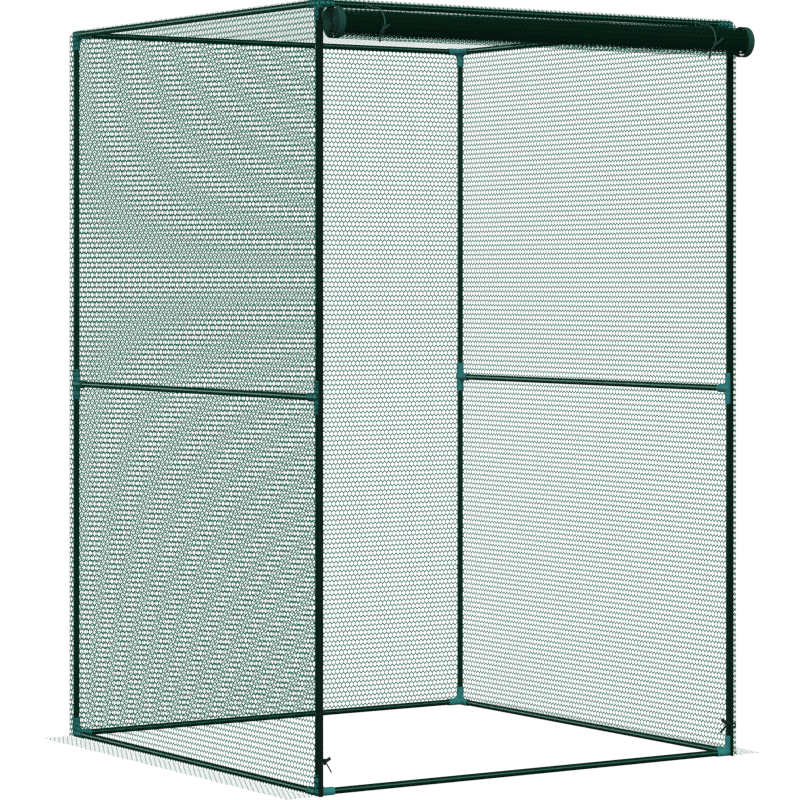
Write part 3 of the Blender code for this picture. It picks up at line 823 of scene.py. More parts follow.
class CAGE_OT_nets(bpy.types.Operator):
    """Stretch the nets of the two sides, the back and the roof over the frame"""

    bl_idname = "crop_cage.nets"
    bl_label = "Side, back and roof nets"

    def execute(self, context):
        self.wall("left", SIDE_PROFILE, ["left_skirt_net"])
        self.wall("right", SIDE_PROFILE, ["right_skirt_net"])
        self.wall("back", BACK_PROFILE)
        self.roof()
        return {"FINISHED"}

    @staticmethod
    def wall(side, profile, skirt=()):
        """A net that follows its path round the posts and a profile from the ground up."""
        path = WALL_PATHS[side]
        cells = whole_cells(path.length)
        flat, faces = flat_net(cells, SIDE_ROWS, path.length / cells, profile.length / SIDE_ROWS)
        u, v, lift = flat.T
        calm = np.clip(np.minimum(u, path.length - u) / CALM_EDGE, 0, 1) * np.clip(v / CALM_FOOT, 0, 1)
        calm *= np.clip((profile.length - v) / CALM_EDGE, 0, 1)
        off, z = profile.at(v, lift + ripple(u, v, SLACK) * calm)
        piece = net_from(side + "_net", *path.at(u, off), z, flat, faces)
        keep(piece, side + "_net", "net_cord", "cage", ["net_" + side])
        declare_net(path.length, profile.length)

    @staticmethod
    def roof():
        width = 2 * (HALF_X + ROOF_EDGE)
        depth = 2 * (HALF_Y + ROOF_EDGE)
        cells = whole_cells(width)
        rows = round(depth / sizes().cell_row)
        flat, faces = flat_net(cells, rows, width / cells, depth / rows, ROOF_STRAND, ROOF_UPRIGHT, ROOF_LIFT)
        u, v, lift = flat.T
        x = u - width / 2
        y = v - depth / 2
        beyond_x = np.maximum(np.abs(x) - HALF_X, 0)
        beyond_y = np.maximum(np.abs(y) - HALF_Y, 0)
        pull = np.minimum(1.0, ROOF_EDGE / np.maximum(np.hypot(beyond_x, beyond_y), 1e-9))
        x = np.sign(x) * (np.minimum(np.abs(x), HALF_X) + beyond_x * pull)
        y = np.sign(y) * (np.minimum(np.abs(y), HALF_Y) + beyond_y * pull)
        sag = ROOF_SAG * np.cos(x / width * math.pi) * np.cos(y / depth * math.pi)
        front = np.clip(1 - (y + depth / 2) / ROOF_RISE_RUN, 0, 1)
        piece = net_from("roof_net", x, y + MIDDLE_Y, ROOF_Z - sag + lift + ROOF_RISE * front, flat, faces)
        keep(piece, "roof_net", "net_cord", "cage", ["net_roof"])
        declare_net(width, depth)


# Ground skirts

SKIRT_CELLS = 6
SKIRT_ROW = 0.01267
SKIRT_LIFT = 0.0002
SKIRT_CALM = 0.02
GROUND_RIPPLE = 0.0007


class CAGE_OT_skirts(bpy.types.Operator):
    """Lay the two ground skirts on the floor outside the side nets"""

    bl_idname = "crop_cage.skirts"
    bl_label = "Ground skirts"

    def execute(self, context):
        for side, way in SIDES:
            self.add_skirt(side, way)
        return {"FINISHED"}

    @staticmethod
    def add_skirt(side, way):
        """A net turned by a quarter, whose rows stand outward from the side net's first cell to its last."""
        path = WALL_PATHS[side]
        cell = path.length / whole_cells(path.length)
        run = path.length - cell
        width = SKIRT_EDGE - FLARE_REACH
        rows = round(run / SKIRT_ROW)
        strand = sizes().skirt_strand
        flat, faces = flat_net(SKIRT_CELLS, rows, width / SKIRT_CELLS, run / rows, strand, strand, SKIRT_LIFT)
        inward, along, lift = flat.T
        if side == "left":
            y = BACK_Y + NET_OFFSET * math.pi / 4 - along
        else:
            y = FRONT_Y - NET_OFFSET * math.pi / 2 + cell + along
        x = way * (HALF_X + SKIRT_EDGE - inward)
        loose = GROUND_RIPPLE * np.clip((width - inward) / SKIRT_CALM, 0, 1)
        z = GROUND + lift + loose * (1 + np.sin(37 * along + 5 * way) * np.sin(90 * inward + 1))
        piece = net_from(side + "_skirt", x, y, z, flat, faces)
        keep(piece, side + "_skirt_net", "net_cord", None, ["skirt_" + side])
        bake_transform(piece)


# Swept pieces: tapes and cords

SWEPT_EDGE = math.radians(50)
ACROSS_POINTS = 7


def sweep(name, centres, across, face, outline, outline_uv, along_uv, swapped=False, paired=False):
    """A closed outline carried along a line of centres, with its own place in the UV map.

    across and face are the outline's two directions at each centre; outline is points in those directions.
    swapped turns the UV map. paired says that the outline is a thin sheet's two sides, whose ends are closed
    by a strip of faces.
    """
    centres, across, face, outline, along_uv = (
        np.asarray(values, float) for values in (centres, across, face, outline, along_uv)
    )
    rings = centres[:, None] + across[:, None] * outline[None, :, :1] + face[:, None] * outline[None, :, 1:]
    count, size = rings.shape[:2]
    ring, step = np.meshgrid(np.arange(count - 1), np.arange(size), indexing="ij")
    ahead = (step + 1) % size
    faces = np.stack([
        ring * size + step, ring * size + ahead, (ring + 1) * size + ahead, (ring + 1) * size + step
    ], -1).reshape(-1, 4).tolist()
    outline_uv = np.append(outline_uv, 2 * outline_uv[-1] - outline_uv[-2])
    corners = np.stack([
        np.stack([outline_uv[step + ahead_u], along_uv[ring + ahead_v]], -1)
        for ahead_u, ahead_v in ((0, 0), (1, 0), (1, 1), (0, 1))
    ], 2).reshape(-1, 2).tolist()
    strips = [list(range(size))]
    if paired:
        strips = [[k, k + 1, size - 2 - k, size - 1 - k] for k in range(size // 2 - 1)]
    for index, flip in ((0, -1), (count - 1, 1)):
        for strip in strips:
            faces.append([index * size + k for k in strip[::flip]])
            corners += [(outline_uv[k], along_uv[index]) for k in strip[::flip]]
    corners = np.array(corners)[:, ::-1 if swapped else 1]
    piece = piece_from(name, rings.reshape(-1, 3), faces, corners)
    edit_whole(piece, bpy.ops.mesh.normals_make_consistent, inside=False)
    bpy.ops.object.shade_smooth_by_angle(angle=SWEPT_EDGE)
    return piece


def run_of(points):
    steps = np.linalg.norm(np.diff(points, axis=0), axis=1)
    return np.concatenate([[0.0], np.cumsum(steps)])


def unit(vectors):
    return vectors / np.linalg.norm(vectors, axis=1)[:, None]


def rounded(points, spacing):
    """A smooth line through the points, with its own points about a spacing apart."""
    points = np.asarray(points, float)
    ends = np.concatenate([[2 * points[0] - points[1]], points, [2 * points[-1] - points[-2]]])
    line = []
    for index in range(1, len(ends) - 2):
        before, start, stop, after = ends[index - 1:index + 3]
        steps = max(2, round(np.linalg.norm(stop - start) / spacing))
        for t in np.arange(steps) / steps:
            line.append(0.5 * (
                2 * start + (stop - before) * t
                + (2 * before - 5 * start + 4 * stop - after) * t ** 2
                + (3 * start - before - 3 * stop + after) * t ** 3
            ))
    line.append(points[-1])
    return np.array(line)


def frames_along(points, start):
    """Two directions square to the line at each point, carried along it without twist."""
    tangents = unit(np.gradient(points, axis=0))
    side = np.asarray(start, float)
    sides = []
    for tangent in tangents:
        side = side - tangent * side.dot(tangent)
        side /= np.linalg.norm(side)
        sides.append(side)
    sides = np.array(sides)
    return sides, np.cross(tangents, sides)


CORD_SIDES = 10
# A direction that no cord runs in, from which its seam starts
CORD_SEAM = (0.31, 0.17, 0.93)


def cord_along(name, points, diameter):
    """A round cord along a line of points."""
    across, face = frames_along(points, CORD_SEAM)
    angles = 2 * math.pi * np.arange(CORD_SIDES) / CORD_SIDES
    outline = np.stack([np.cos(angles), np.sin(angles)], -1) * diameter / 2
    return sweep(name, points, across, face, outline, np.arange(CORD_SIDES) / CORD_SIDES, run_of(points))


def tape_along(name, points, across, face, width, thickness):
    """A flat tape with round edges along a line of points."""
    half = thickness / 2
    steps = np.linspace(half - width / 2, width / 2 - half, ACROSS_POINTS)
    outline = [(step, half) for step in steps] + [(width / 2, 0.0)]
    outline += [(step, -half) for step in steps[::-1]] + [(-width / 2, 0.0)]
    outline = np.array(outline)
    return sweep(name, points, across, face, outline, outline[:, 0], run_of(points))


# Door

DOOR_ROWS = 141
FLAP_PROFILE = Profile(
    (NET_OFFSET, HANGING_TOP), (NET_OFFSET, SLOPE_START), (ROOF_EDGE, ROOF_Z + ROOF_RISE)
)
FLAP_LENGTH = FLAP_PROFILE.length
HANGING_LENGTH = HANGING_TOP - ROLL.z
DOOR_LENGTH = FLAP_LENGTH + HANGING_LENGTH + DOOR_DROP
ROLL_BACK_GAP = 0.0008
# The side tapes between the flap and the roll
EDGE_TAPE_START = 0.012
EDGE_TAPE_POINTS = 90
EDGE_TAPE_LIFT = 0.0022
TAPE_SHEET = 0.0013
# The rolled net, which goes once loosely round a tight core. It leaves the outer turn at the core's start and
# has reached the core where it is whole, both counted in turns from outside
ROLL_STRAND = 0.0028
ROLL_UPRIGHT = 0.0014
ROLL_OVERLAP = 0.002
ROLL_OUTER = ROLL_RADIUS - 0.0004
ROLL_INNER = 0.0035
ROLL_CORE = 0.0320
ROLL_CORE_TURNS = 14
ROLL_CORE_START = 0.85
ROLL_CORE_WHOLE = 1.3
ROLL_POINTS = 4000
# The core sits higher in its loose outer turn at the right end
ROLL_CORE_RAISED = {"left": 0.0016, "right": 0.0046}
ROLL_LOOSE = 0.0004
ROLL_INSET = 1.4 * ROLL_LOOSE
ROLL_BELLY = 0.0006
ROLL_FLAT = 0.0016
ROLL_SLANT = 0.016
# Up to this many turns from outside the rolled net gets the loose finish; further in it gets the core's
# finish, which is painted darker and painted to glow
ROLL_LIGHT_TURN = 0.9
# The rolled side tapes, wound from inside out
ROLL_TAPE_PHASES = {"left": 0.0, "right": 1.3}
TAPE_PROUD = 0.0011
TAPE_CORE = 0.0325
TAPE_INNER = 0.0042
TAPE_TURNS = 7
TAPE_STEPS = 30
TAPE_LOOSE = 0.0007
TAPE_LAST_TURN = 1.35
TAPE_RISE = 0.4


def evened(share):
    """Where a share of the hanging net lies at rest, so that its rows are even when the door is down."""
    return 0.5 - np.sin(np.arcsin(1 - 2 * np.clip(share, 0, 1)) / 3)


def door_place(down, lift):
    """y and z of a point of the door, by its length down from the roof's edge."""
    off, z = FLAP_PROFILE.at(np.clip(FLAP_LENGTH - down, 0, FLAP_LENGTH), lift)
    t = evened((down - FLAP_LENGTH) / (DOOR_LENGTH - FLAP_LENGTH))
    back = (FRONT_Y - ROLL.y) - ROLL_RADIUS - ROLL_BACK_GAP
    hanging = down > FLAP_LENGTH
    off = np.where(hanging, NET_OFFSET + lift + (back - NET_OFFSET) * t, off)
    z = np.where(hanging, HANGING_TOP - HANGING_LENGTH * t, z)
    return FRONT_Y - off, z


def roll_winding():
    """Length, radius and angle of the rolled net, from outside in."""
    turn = np.linspace(0.0, ROLL_CORE_WHOLE + ROLL_CORE_TURNS, ROLL_POINTS)
    to_core = eased((turn - ROLL_CORE_START) / (ROLL_CORE_WHOLE - ROLL_CORE_START))
    wound = np.clip((turn - ROLL_CORE_WHOLE) / ROLL_CORE_TURNS, 0, 1)
    radius = ROLL_OUTER + (ROLL_CORE - ROLL_OUTER) * to_core - (ROLL_CORE - ROLL_INNER) * wound
    angle = 2 * math.pi * turn
    steps = np.diff(angle) * (radius[1:] + radius[:-1]) / 2
    return np.concatenate([[0.0], np.cumsum(steps)]), radius, angle


def hang_with_door(piece):
    """The piece's place is baked into its mesh."""
    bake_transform(piece)


def press_with_door(piece):
    """The piece gets its own copy of its mesh."""
    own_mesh(piece)


class CAGE_OT_door(bpy.types.Operator):
    """Hang the door's flap and net, and roll the rest of it up between its two side tapes"""

    bl_idname = "crop_cage.door"
    bl_label = "Rolled door"

    def execute(self, context):
        self.hanging_net()
        for side, way in SIDES:
            self.edge_tape(side, way)
        self.rolled_net()
        for side, way in SIDES:
            self.rolled_tape(side, way)
        return {"FINISHED"}

    @staticmethod
    def hanging_net():
        width = 2 * HALF_X
        cells = whole_cells(width)
        flat, faces = flat_net(cells, DOOR_ROWS, width / cells, DOOR_LENGTH / DOOR_ROWS)
        u, v, lift = flat.T
        down = DOOR_LENGTH - v
        y, z = door_place(down, np.where(down > FLAP_LENGTH, 0.0, lift))
        piece = net_from("door_net", u - width / 2, y, z, flat, faces)
        keep(piece, "door_hanging_net", "net_cord", None, ["door_flap", "door_net_hanging"])
        hang_with_door(piece)
        declare_net(width, FLAP_LENGTH + HANGING_LENGTH)

    @staticmethod
    def edge_tape(side, way):
        """A side tape's stretch from the flap down to the roll."""
        width = sizes().roll_tape_width
        down = np.linspace(FLAP_LENGTH - EDGE_TAPE_START, DOOR_LENGTH, EDGE_TAPE_POINTS)
        y, z = door_place(down, np.full_like(down, EDGE_TAPE_LIFT))
        x = np.full_like(y, way * (ROLL_HALF_LENGTH - width / 2))
        across = np.tile((1.0, 0.0, 0.0), (len(y), 1))
        face = np.tile((0.0, -1.0, 0.0), (len(y), 1))
        piece = tape_along("door_edge", np.stack([x, y, z], -1), across, face, width, TAPE_SHEET)
        keep(piece, "door_edge_tape_" + side, "binding_tape")
        hang_with_door(piece)

    @staticmethod
    def rolled_net():
        width = 2 * (ROLL_HALF_LENGTH - sizes().roll_tape_width + ROLL_OVERLAP)
        winding, radii, angles = roll_winding()
        length = winding[-1]
        cells = whole_cells(width)
        rows = round(length / sizes().cell_row)
        flat, faces = flat_net(cells, rows, width / cells, length / rows, ROLL_STRAND, ROLL_UPRIGHT)
        flat[:, 1] = length - flat[:, 1]
        u, v, lift = flat.T
        radius = np.interp(v, winding, radii)
        angle = np.interp(v, winding, angles)
        outside = np.clip((radius - ROLL_CORE) / (ROLL_OUTER - ROLL_CORE), 0, 1)
        loose = ROLL_LOOSE * (np.sin(11 * u + 3 * angle) + np.sin(23 * u - 2 * angle + 1))
        loose = loose * np.clip(radius / ROLL_OUTER, 0, 1) - ROLL_INSET
        belly = ROLL_BELLY * outside * np.maximum(np.sin(angle), 0) * (1 + np.sin(9.0 * u + 0.7))
        flattened = ROLL_FLAT * outside * np.maximum(-np.sin(angle), 0) ** 2
        reach = radius + lift + loose + belly - flattened
        raised = np.interp(u, (0, width), list(ROLL_CORE_RAISED.values())) * (1 - outside)
        x = u - width / 2 + ROLL_SLANT * (v - length / 2) * np.sin(u / width * math.pi)
        y = ROLL.y + reach * np.cos(angle)
        piece = net_from("rolled_net", x, y, ROLL.z + raised - reach * np.sin(angle), flat, faces)
        # The roll's core gets a darker copy of the net colour with a painted glow, and its outer turn a
        # slightly darker one: painted shade
        keep(piece, "rolled_door_net", "rolled_net", "door_roll", ["door_roll_net"])
        piece.data.materials.append(finish("loose_net"))
        loose_turn = v[faces].mean(axis=1) < np.interp(ROLL_LIGHT_TURN * 2 * math.pi, angles, winding)
        piece.data.polygons.foreach_set("material_index", loose_turn.astype(np.int32))
        press_with_door(piece)
        declare_net(width, length)

    @staticmethod
    def rolled_tape(side, way):
        """A side tape rolled up with the net: a sheet wound from its middle out, carried across its width."""
        width = sizes().roll_tape_width
        phase = ROLL_TAPE_PHASES[side]
        turns = np.arange(TAPE_TURNS * TAPE_STEPS + 1) / TAPE_STEPS
        angle = 2 * math.pi * turns
        core_turns = TAPE_TURNS - TAPE_LAST_TURN
        outside = eased((turns - core_turns) / TAPE_RISE)
        waves = np.sin(2 * angle + phase) + np.sin(3.1 * angle + 2 * phase)
        loose = TAPE_LOOSE * waves * (1 - turns / TAPE_TURNS)
        wound = TAPE_INNER + (TAPE_CORE - TAPE_INNER) * np.minimum(turns / core_turns, 1)
        radius = wound + (ROLL_RADIUS + TAPE_PROUD - TAPE_SHEET / 2 - TAPE_CORE) * outside + loose
        raised = TAPE_PROUD + ROLL_CORE_RAISED[side] * (1 - outside)
        outer, inner = (
            np.stack([reach * np.cos(angle), raised + reach * np.sin(angle)], -1)
            for reach in (radius + TAPE_SHEET / 2, radius - TAPE_SHEET / 2)
        )
        run = run_of(outer)
        steps = np.linspace(-width / 2, width / 2, ACROSS_POINTS)
        middle = way * (ROLL_HALF_LENGTH - width / 2)
        centres = [(middle + step, ROLL.y, ROLL.z) for step in steps]
        across = np.tile((0.0, 1.0, 0.0), (ACROSS_POINTS, 1))
        face = np.tile((0.0, 0.0, 1.0), (ACROSS_POINTS, 1))
        piece = sweep("tape", centres, across, face, np.concatenate([outer, inner[::-1]]),
                      np.concatenate([run, run[::-1]]), steps, swapped=True, paired=True)
        keep(piece, "rolled_tape_" + side, "binding_tape", "door_roll", ["door_tape_" + side])
        press_with_door(piece)


# Tapes in front of the posts

POST_TAPE_TOP = TOP_Z - 0.012
POST_TAPE_POINTS = 260
POST_TAPE_LIFT = 0.0014
POST_TAPE_RIPPLE = 0.0003
POST_TAPE_SLOPE_STEP = 0.001
# Each tape's middle, and its width as a share of the tape width. The left one is wider, because it is turned
# a little way round its post
POST_TAPES = {"left": (-HALF_X - 0.0047, 1.35), "right": (HALF_X - 0.0056, 1.0)}


class CAGE_OT_tapes(bpy.types.Operator):
    """Sew the binding tapes in front of the two front posts"""

    bl_idname = "crop_cage.tapes"
    bl_label = "Front binding tapes"

    def execute(self, context):
        along = np.linspace(0.0, POST_TAPE_TOP - GROUND, POST_TAPE_POINTS)
        off, z = BACK_PROFILE.at(along, np.full_like(along, POST_TAPE_LIFT))
        off += POST_TAPE_RIPPLE * np.sin(19 * along) * np.sin(7 * along)
        low = BACK_PROFILE.at(along - POST_TAPE_SLOPE_STEP, 0.0)
        high = BACK_PROFILE.at(along + POST_TAPE_SLOPE_STEP, 0.0)
        rise = unit(np.stack([np.zeros_like(off), low[0] - high[0], high[1] - low[1]], -1))
        across = np.tile((1.0, 0.0, 0.0), (len(off), 1))
        for side, (middle, share) in POST_TAPES.items():
            centres = np.stack([np.full_like(off, middle), FRONT_Y - off, z], -1)
            width = sizes().tape_width * share
            piece = tape_along("band", centres, across, np.cross(across, rise), width, TAPE_SHEET)
            keep(piece, "front_tape_" + side, "post_tape", "cage",
                 ["front_edge_band_" + side])
        return {"FINISHED"}


# Ties

TIE_PLACES = {"left": 0.1222 - HALF_X, "right": HALF_X - 0.125}
TIE_WRAP = ROLL_RADIUS + 0.0019
TIE_SPACING = 0.0025
# The cord leaves the roof's front seam here: steps forward from the seam and up from the top rail
TIE_SEAM_Y = FRONT_Y - NET_OFFSET - 0.0027
TIE_START = ((0.0, 0.0024), (0.010, -0.0022), (0.0215, -0.0070))
TIE_END = ((0.0006, ROLL.z + 0.020 - TOP_Z), (0.0, -0.0035))
# It goes round the roll by these degrees, and lies in the roll from the first of its sunk angles to the last
TIE_ROUND = range(92, 361, 8)
TIE_SUNK = 0.011
TIE_SUNK_ANGLES = (215, 250, 300, 336)
KNOT_ANGLE = 192
KNOT_PROUD = 0.6
KNOT_SIZE = 0.0030
KNOT_POINTS = 42
KNOT_OPENING = 0.25
KNOT_LOBE = 1.4
KNOT_DEPTH = 0.8
KNOT_SPACING = 0.0015
TAIL_SPREAD = 1.45
TAIL_REACH = 0.034
TAIL_GAP = 0.001
# Each tie's tails, as steps to the right and up from its knot: the short one and then the long one
TIE_TAILS = {
    "left": ([(0.0045, 0.0020), (0.0098, 0.0058)],
             [(-0.0052, -0.0050), (-0.0098, -0.0120), (-0.0098, -0.0230), (-0.0104, -0.0355)]),
    "right": ([(0.0060, 0.0020), (0.0130, 0.0070), (0.0205, 0.0135)],
              [(-0.0050, -0.0060), (-0.0100, -0.0160), (-0.0122, -0.0250), (-0.0172, -0.0400)]),
}
FOOT_TIE_WIDTH = 0.005
FOOT_TIE_SHEET = 0.0012
FOOT_TIE_REACH = 0.0091
FOOT_TIE_FRONT = 0.0200
FOOT_TIE_SAG = {"left": 0.0022, "right": 0.0090}
FOOT_TIE_SPACING = 0.0015
# Its way round the front of the post, as steps inward and forward, then by degrees behind the post, and then
# where it ends beside its knot
FOOT_TIE_ROUND = (
    (FOOT_TIE_REACH, 0.003),
    (FOOT_TIE_REACH, 0.010),
    (FOOT_TIE_REACH - 0.002, FOOT_TIE_FRONT - 0.0015),
    (0.0, FOOT_TIE_FRONT),
    (0.002 - FOOT_TIE_REACH, FOOT_TIE_FRONT - 0.0015),
    (-FOOT_TIE_REACH, 0.010),
    (-FOOT_TIE_REACH, 0.0),
)
FOOT_TIE_BEHIND = range(30, 181, 30)
FOOT_TIE_END = (FOOT_TIE_REACH + 0.0004, -0.009, 0.0005)
FOOT_KNOT_PLACE = (FOOT_TIE_REACH + 0.0034, -0.0095, 0.0)
FOOT_KNOT = 0.0036
FOOT_KNOT_CORD = 0.0052
FOOT_KNOT_SPACING = 0.001
FOOT_TAIL_GAP = 0.001
# Each foot tie's two ends: width, and steps inward and up from the knot
FOOT_TAILS = {
    "left": ((0.0085, (0.0060, 0.0026), (0.0150, 0.0068)), (0.0034, (0.006, -0.0085), (0.0180, -0.0275))),
    "right": ((0.0082, (0.0095, 0.0055), (0.0205, 0.0140)), (0.0068, (0.0100, -0.0080), (0.0245, -0.0205))),
}


def on_roll(x, degrees, reach):
    angle = math.radians(degrees)
    return Vector((x, ROLL.y + reach * math.cos(angle), ROLL.z + reach * math.sin(angle)))


def knot_turns(centre, size, along, out):
    """A small overhand knot: a three-lobed closed line, opened at its start."""
    side = along.cross(out)
    points = []
    for t in np.linspace(KNOT_OPENING, 2 * math.pi - KNOT_OPENING, KNOT_POINTS):
        across = size * (math.sin(t) + KNOT_LOBE * math.sin(2 * t)) / KNOT_LOBE
        up = size * (math.cos(t) - KNOT_LOBE * math.cos(2 * t)) / KNOT_LOBE
        points.append(centre + side * across + along * up - out * (size * KNOT_DEPTH * math.sin(3 * t)))
    return points


class CAGE_OT_roll_ties(bpy.types.Operator):
    """Tie each end of the roll with a thin cord, from the roof's front seam round the roll to its knot"""

    bl_idname = "crop_cage.roll_ties"
    bl_label = "Roll ties"

    def execute(self, context):
        for side, x in TIE_PLACES.items():
            self.add_tie(side, x)
        return {"FINISHED"}

    @staticmethod
    def route(x):
        """Down from the seam, over the roll and in front of it, under it and up behind it to the seam."""
        start, end = (
            [Vector((x, TIE_SEAM_Y - forward, TOP_Z + up)) for forward, up in steps]
            for steps in (TIE_START, TIE_END)
        )
        around = [
            on_roll(x, degrees, TIE_WRAP - TIE_SUNK * np.interp(degrees, TIE_SUNK_ANGLES, (0, 1, 1, 0)))
            for degrees in TIE_ROUND
        ]
        return rounded(start + around + end, TIE_SPACING)

    @staticmethod
    def tail(knot, steps, diameter):
        """Points that hang from the knot by steps to the right and up, just in front of the roll."""
        points = []
        for right, up in steps:
            below = knot.z + up - ROLL.z
            hugging = max(math.sqrt(max((TIE_WRAP + diameter) ** 2 - below ** 2, 0.0)), TAIL_REACH)
            points.append(Vector((knot.x + right, ROLL.y - hugging - TAIL_GAP, knot.z + up)))
        return points

    def add_tie(self, side, x):
        diameter = sizes().tie_diameter
        points = self.route(x)
        knot = on_roll(x, KNOT_ANGLE, TIE_WRAP + diameter * KNOT_PROUD)
        out = (knot - on_roll(x, KNOT_ANGLE, 0)).normalized()
        turns = knot_turns(knot, KNOT_SIZE, Vector((1, 0, 0)).cross(out), out)
        short, long = (self.tail(knot, steps, diameter) for steps in TIE_TAILS[side])
        line = rounded(short[::-1] + turns[::3] + long, KNOT_SPACING)
        ends = cord_along("tails", line, diameter * TAIL_SPREAD)
        # The knot and tails get a darker copy of the tie colour: painted shade from the roll
        keep(ends, "roll_tie_knot_" + side, "tie_tail", "cage", ["roll_tie_" + side])
        cord = cord_along("tie", points, diameter)
        keep(cord, "roll_tie_cord_" + side, "tie_cord", "cage", ["roll_tie_" + side])
        float(run_of(points)[-1])
        for piece in (cord, ends):
            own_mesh(piece)


class CAGE_OT_foot_ties(bpy.types.Operator):
    """Tie each front tape to its post near the ground with a narrow flat tape and its knot"""

    bl_idname = "crop_cage.foot_ties"
    bl_label = "Foot ties"

    def execute(self, context):
        for side, way in SIDES:
            self.add_tie(side, -way)
        return {"FINISHED"}

    @staticmethod
    def strip(name, points, width):
        """A flat strip along a line, its width upright."""
        points = rounded(points, FOOT_TIE_SPACING)
        tangents = unit(np.gradient(points, axis=0))
        across = unit(np.cross(tangents, np.cross((0.0, 0.0, 1.0), tangents)))
        return tape_along(name, points, across, np.cross(tangents, across), width, FOOT_TIE_SHEET)

    @staticmethod
    def loop(side, inward, post):
        """Round the tape in front of the post and the post itself, starting at the knot."""
        reach = FOOT_TIE_REACH
        steps = [
            (across, -forward, -FOOT_TIE_SAG[side] * (1 - abs(across) / reach))
            for across, forward in FOOT_TIE_ROUND
        ]
        for degrees in FOOT_TIE_BEHIND:
            angle = math.radians(degrees)
            steps.append((-reach * math.cos(angle), reach * math.sin(angle), 0))
        return [post + Vector((inward * across, back, up)) for across, back, up in steps + [FOOT_TIE_END]]

    def add_tie(self, side, inward):
        post = Vector((-inward * HALF_X, FRONT_Y, FOOT_TIE_Z))
        band = self.strip("band", self.loop(side, inward, post), FOOT_TIE_WIDTH)
        knot = post + Vector((inward, 1, 1)) * Vector(FOOT_KNOT_PLACE)
        turns = knot_turns(knot, FOOT_KNOT, Vector((0, 0, 1)), Vector((inward, 0, 0)))
        lump = cord_along("knot", rounded(turns[::2], FOOT_KNOT_SPACING), FOOT_KNOT_CORD)
        tails = []
        for width, *steps in FOOT_TAILS[side]:
            places = [knot + Vector((inward * across, -FOOT_TAIL_GAP, up)) for across, up in steps]
            tails.append(self.strip("tail", [knot] + places, width))
        tie = joined([lump, *tails, band])
        # The foot tie gets a much darker copy of the tie colour: painted shade
        keep(tie, "foot_tie_" + side + "_tape", "foot_tie_tape", "cage", ["foot_tie_" + side])


# Stage

CAMERA_PLACE = (-4.79485, -7.324182, 1.22715)
CAMERA_TURN = 33.1176
CAMERA_LENS = 150.29
CAMERA_SHIFT = -0.1505
CAMERA_REACH = 100.0
PIXEL_FILTER = 1.3
FLOOR_SIZE = 60.0
FLOOR_DROP = 0.0002
FLOOR_WHITE = 1.24
FLOOR_WHITE_SHARE = 0.78
FLOOR_GREY = 0.35
MIRRORED_GREY = 0.05
SOFT_LIGHT = 0.2
MIRRORED_LIGHT = 0.03
LAMP_AIM = Vector((0, 0, 0.9))
# Each lamp's place, strength and width in degrees
LAMPS = {
    "key": ((-3.0, -4.4, 6.0), 3.0, 50.0),
    "fill": ((4.0, -6.0, 3.6), 0.45, 25.0),
    "rear": ((-4.2, 5.6, 1.7), 1.1, 32.0),
}


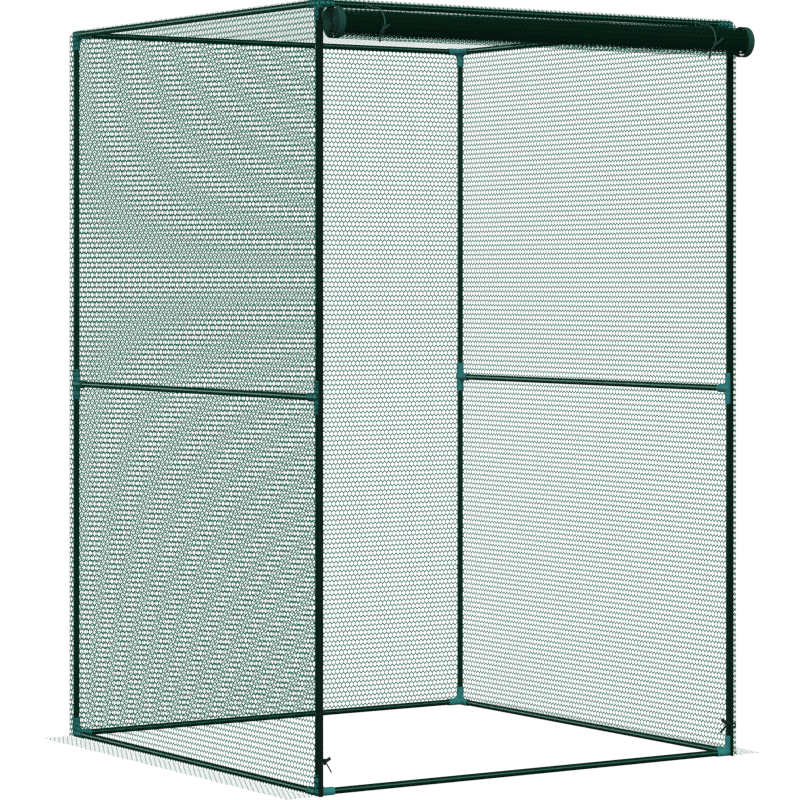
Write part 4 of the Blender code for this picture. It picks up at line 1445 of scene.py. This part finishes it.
class CAGE_OT_stage(bpy.types.Operator):
    """Add the camera at the photograph's viewing angle, the white floor and the soft lamps"""

    bl_idname = "crop_cage.stage"
    bl_label = "Camera, floor and lamps"

    def execute(self, context):
        self.camera()
        self.floor()
        self.backdrop()
        for name, settings in LAMPS.items():
            self.lamp(name, *settings)
        scene = bpy.context.scene
        scene.view_settings.view_transform = "Standard"
        # The nets' strands are about a pixel wide, and the denoiser melts them into lines
        scene.cycles.use_denoising = False
        scene.cycles.filter_width = PIXEL_FILTER
        # Lamp light through the nets would make bright specks on what is behind them
        scene.cycles.caustics_refractive = False
        return {"FINISHED"}

    @staticmethod
    def camera():
        camera = bpy.data.cameras.new("camera")
        camera.lens = CAMERA_LENS
        camera.shift_y = CAMERA_SHIFT
        camera.clip_end = CAMERA_REACH
        holder = linked("camera", camera)
        holder.location = CAMERA_PLACE
        holder.rotation_euler = (math.pi / 2, 0, -math.radians(CAMERA_TURN))
        bpy.context.scene.camera = holder

    @staticmethod
    def floor():
        """White where it is seen, and grey where it is lit, shaded or mirrored."""
        nothing_selected()
        bpy.ops.mesh.primitive_plane_add(size=FLOOR_SIZE, location=(0, 0, -FLOOR_DROP))
        floor = bpy.context.object
        floor.name = "floor"
        shader = Shader(bpy.data.materials.new("floor_white"))
        rays = shader.add("ShaderNodeLightPath")
        seen = rays["Is Camera Ray"] | rays["Is Transmission Ray"]
        glow = {"Color": (*colours().floor, 1.0), "Strength": FLOOR_WHITE}
        white = shader.add("ShaderNodeEmission", None, glow)
        grey = shader.mix(rays["Is Glossy Ray"], (FLOOR_GREY,) * 3, (MIRRORED_GREY,) * 3)
        matt = shader.add("ShaderNodeBsdfDiffuse", None, {"Color": grey})
        share = seen * FLOOR_WHITE_SHARE
        mixed = shader.add("ShaderNodeMixShader", None, {0: share, 1: matt[0], 2: white[0]})
        shader.add("ShaderNodeOutputMaterial", None, {"Surface": mixed[0]})
        floor.data.materials.append(shader.owner)

    @staticmethod
    def backdrop():
        """A world that is white where it is seen, and soft light elsewhere, with less of it mirrored."""
        shader = Shader(bpy.data.worlds.new("studio"))
        rays = shader.add("ShaderNodeLightPath")
        colour = (*colours().floor, 1.0)
        strength = SOFT_LIGHT - rays["Is Glossy Ray"] * (SOFT_LIGHT - MIRRORED_LIGHT)
        soft = shader.add("ShaderNodeBackground", None, {"Color": colour, "Strength": strength})
        white = shader.add("ShaderNodeBackground", None, {"Color": colour})
        seen = rays["Is Camera Ray"] | rays["Is Transmission Ray"]
        mixed = shader.add("ShaderNodeMixShader", None, {0: seen, 1: soft[0], 2: white[0]})
        shader.add("ShaderNodeOutputWorld", None, {"Surface": mixed[0]})
        bpy.context.scene.world = shader.owner

    @staticmethod
    def lamp(name, place, strength, width):
        lamp = bpy.data.lights.new(name, "SUN")
        lamp.energy = strength
        lamp.angle = math.radians(width)
        holder = linked(name, lamp)
        holder.location = place
        holder.rotation_euler = (LAMP_AIM - Vector(place)).to_track_quat("-Z", "Y").to_euler()
        # A lamp that stands behind a net isn't seen through its strands
        holder.visible_transmission = False


OPERATORS = (
    CAGE_OT_stage,
    CAGE_OT_tubes,
    CAGE_OT_connectors,
    CAGE_OT_skirts,
    CAGE_OT_nets,
    CAGE_OT_door,
    CAGE_OT_tapes,
    CAGE_OT_roll_ties,
    CAGE_OT_foot_ties,
)


class CAGE_PT_sidebar(bpy.types.Panel):
    """The cage's pieces, sizes and colours"""

    bl_idname = "CAGE_PT_sidebar"
    bl_label = "Crop cage"
    bl_space_type = "VIEW_3D"
    bl_region_type = "UI"
    bl_category = "Crop cage"

    def draw(self, context):
        for operator in OPERATORS:
            self.layout.operator(operator.bl_idname)
        for group in (context.scene.crop_cage_sizes, context.scene.crop_cage_colours):
            for name in group.__annotations__:
                self.layout.prop(group, name)


CLASSES = (CageSizes, CageColours, *OPERATORS, CAGE_PT_sidebar)


def register():
    for entry in CLASSES:
        bpy.utils.register_class(entry)
    bpy.types.Scene.crop_cage_sizes = bpy.props.PointerProperty(type=CageSizes)
    bpy.types.Scene.crop_cage_colours = bpy.props.PointerProperty(type=CageColours)


def unregister():
    del bpy.types.Scene.crop_cage_colours
    del bpy.types.Scene.crop_cage_sizes
    for entry in reversed(CLASSES):
        bpy.utils.unregister_class(entry)


def main():
    register()
    for operator in OPERATORS:
        group, name = operator.bl_idname.split(".")
        getattr(getattr(bpy.ops, group), name)()
    bpy.context.view_layer.update()


if __name__ == "__main__":
    main()
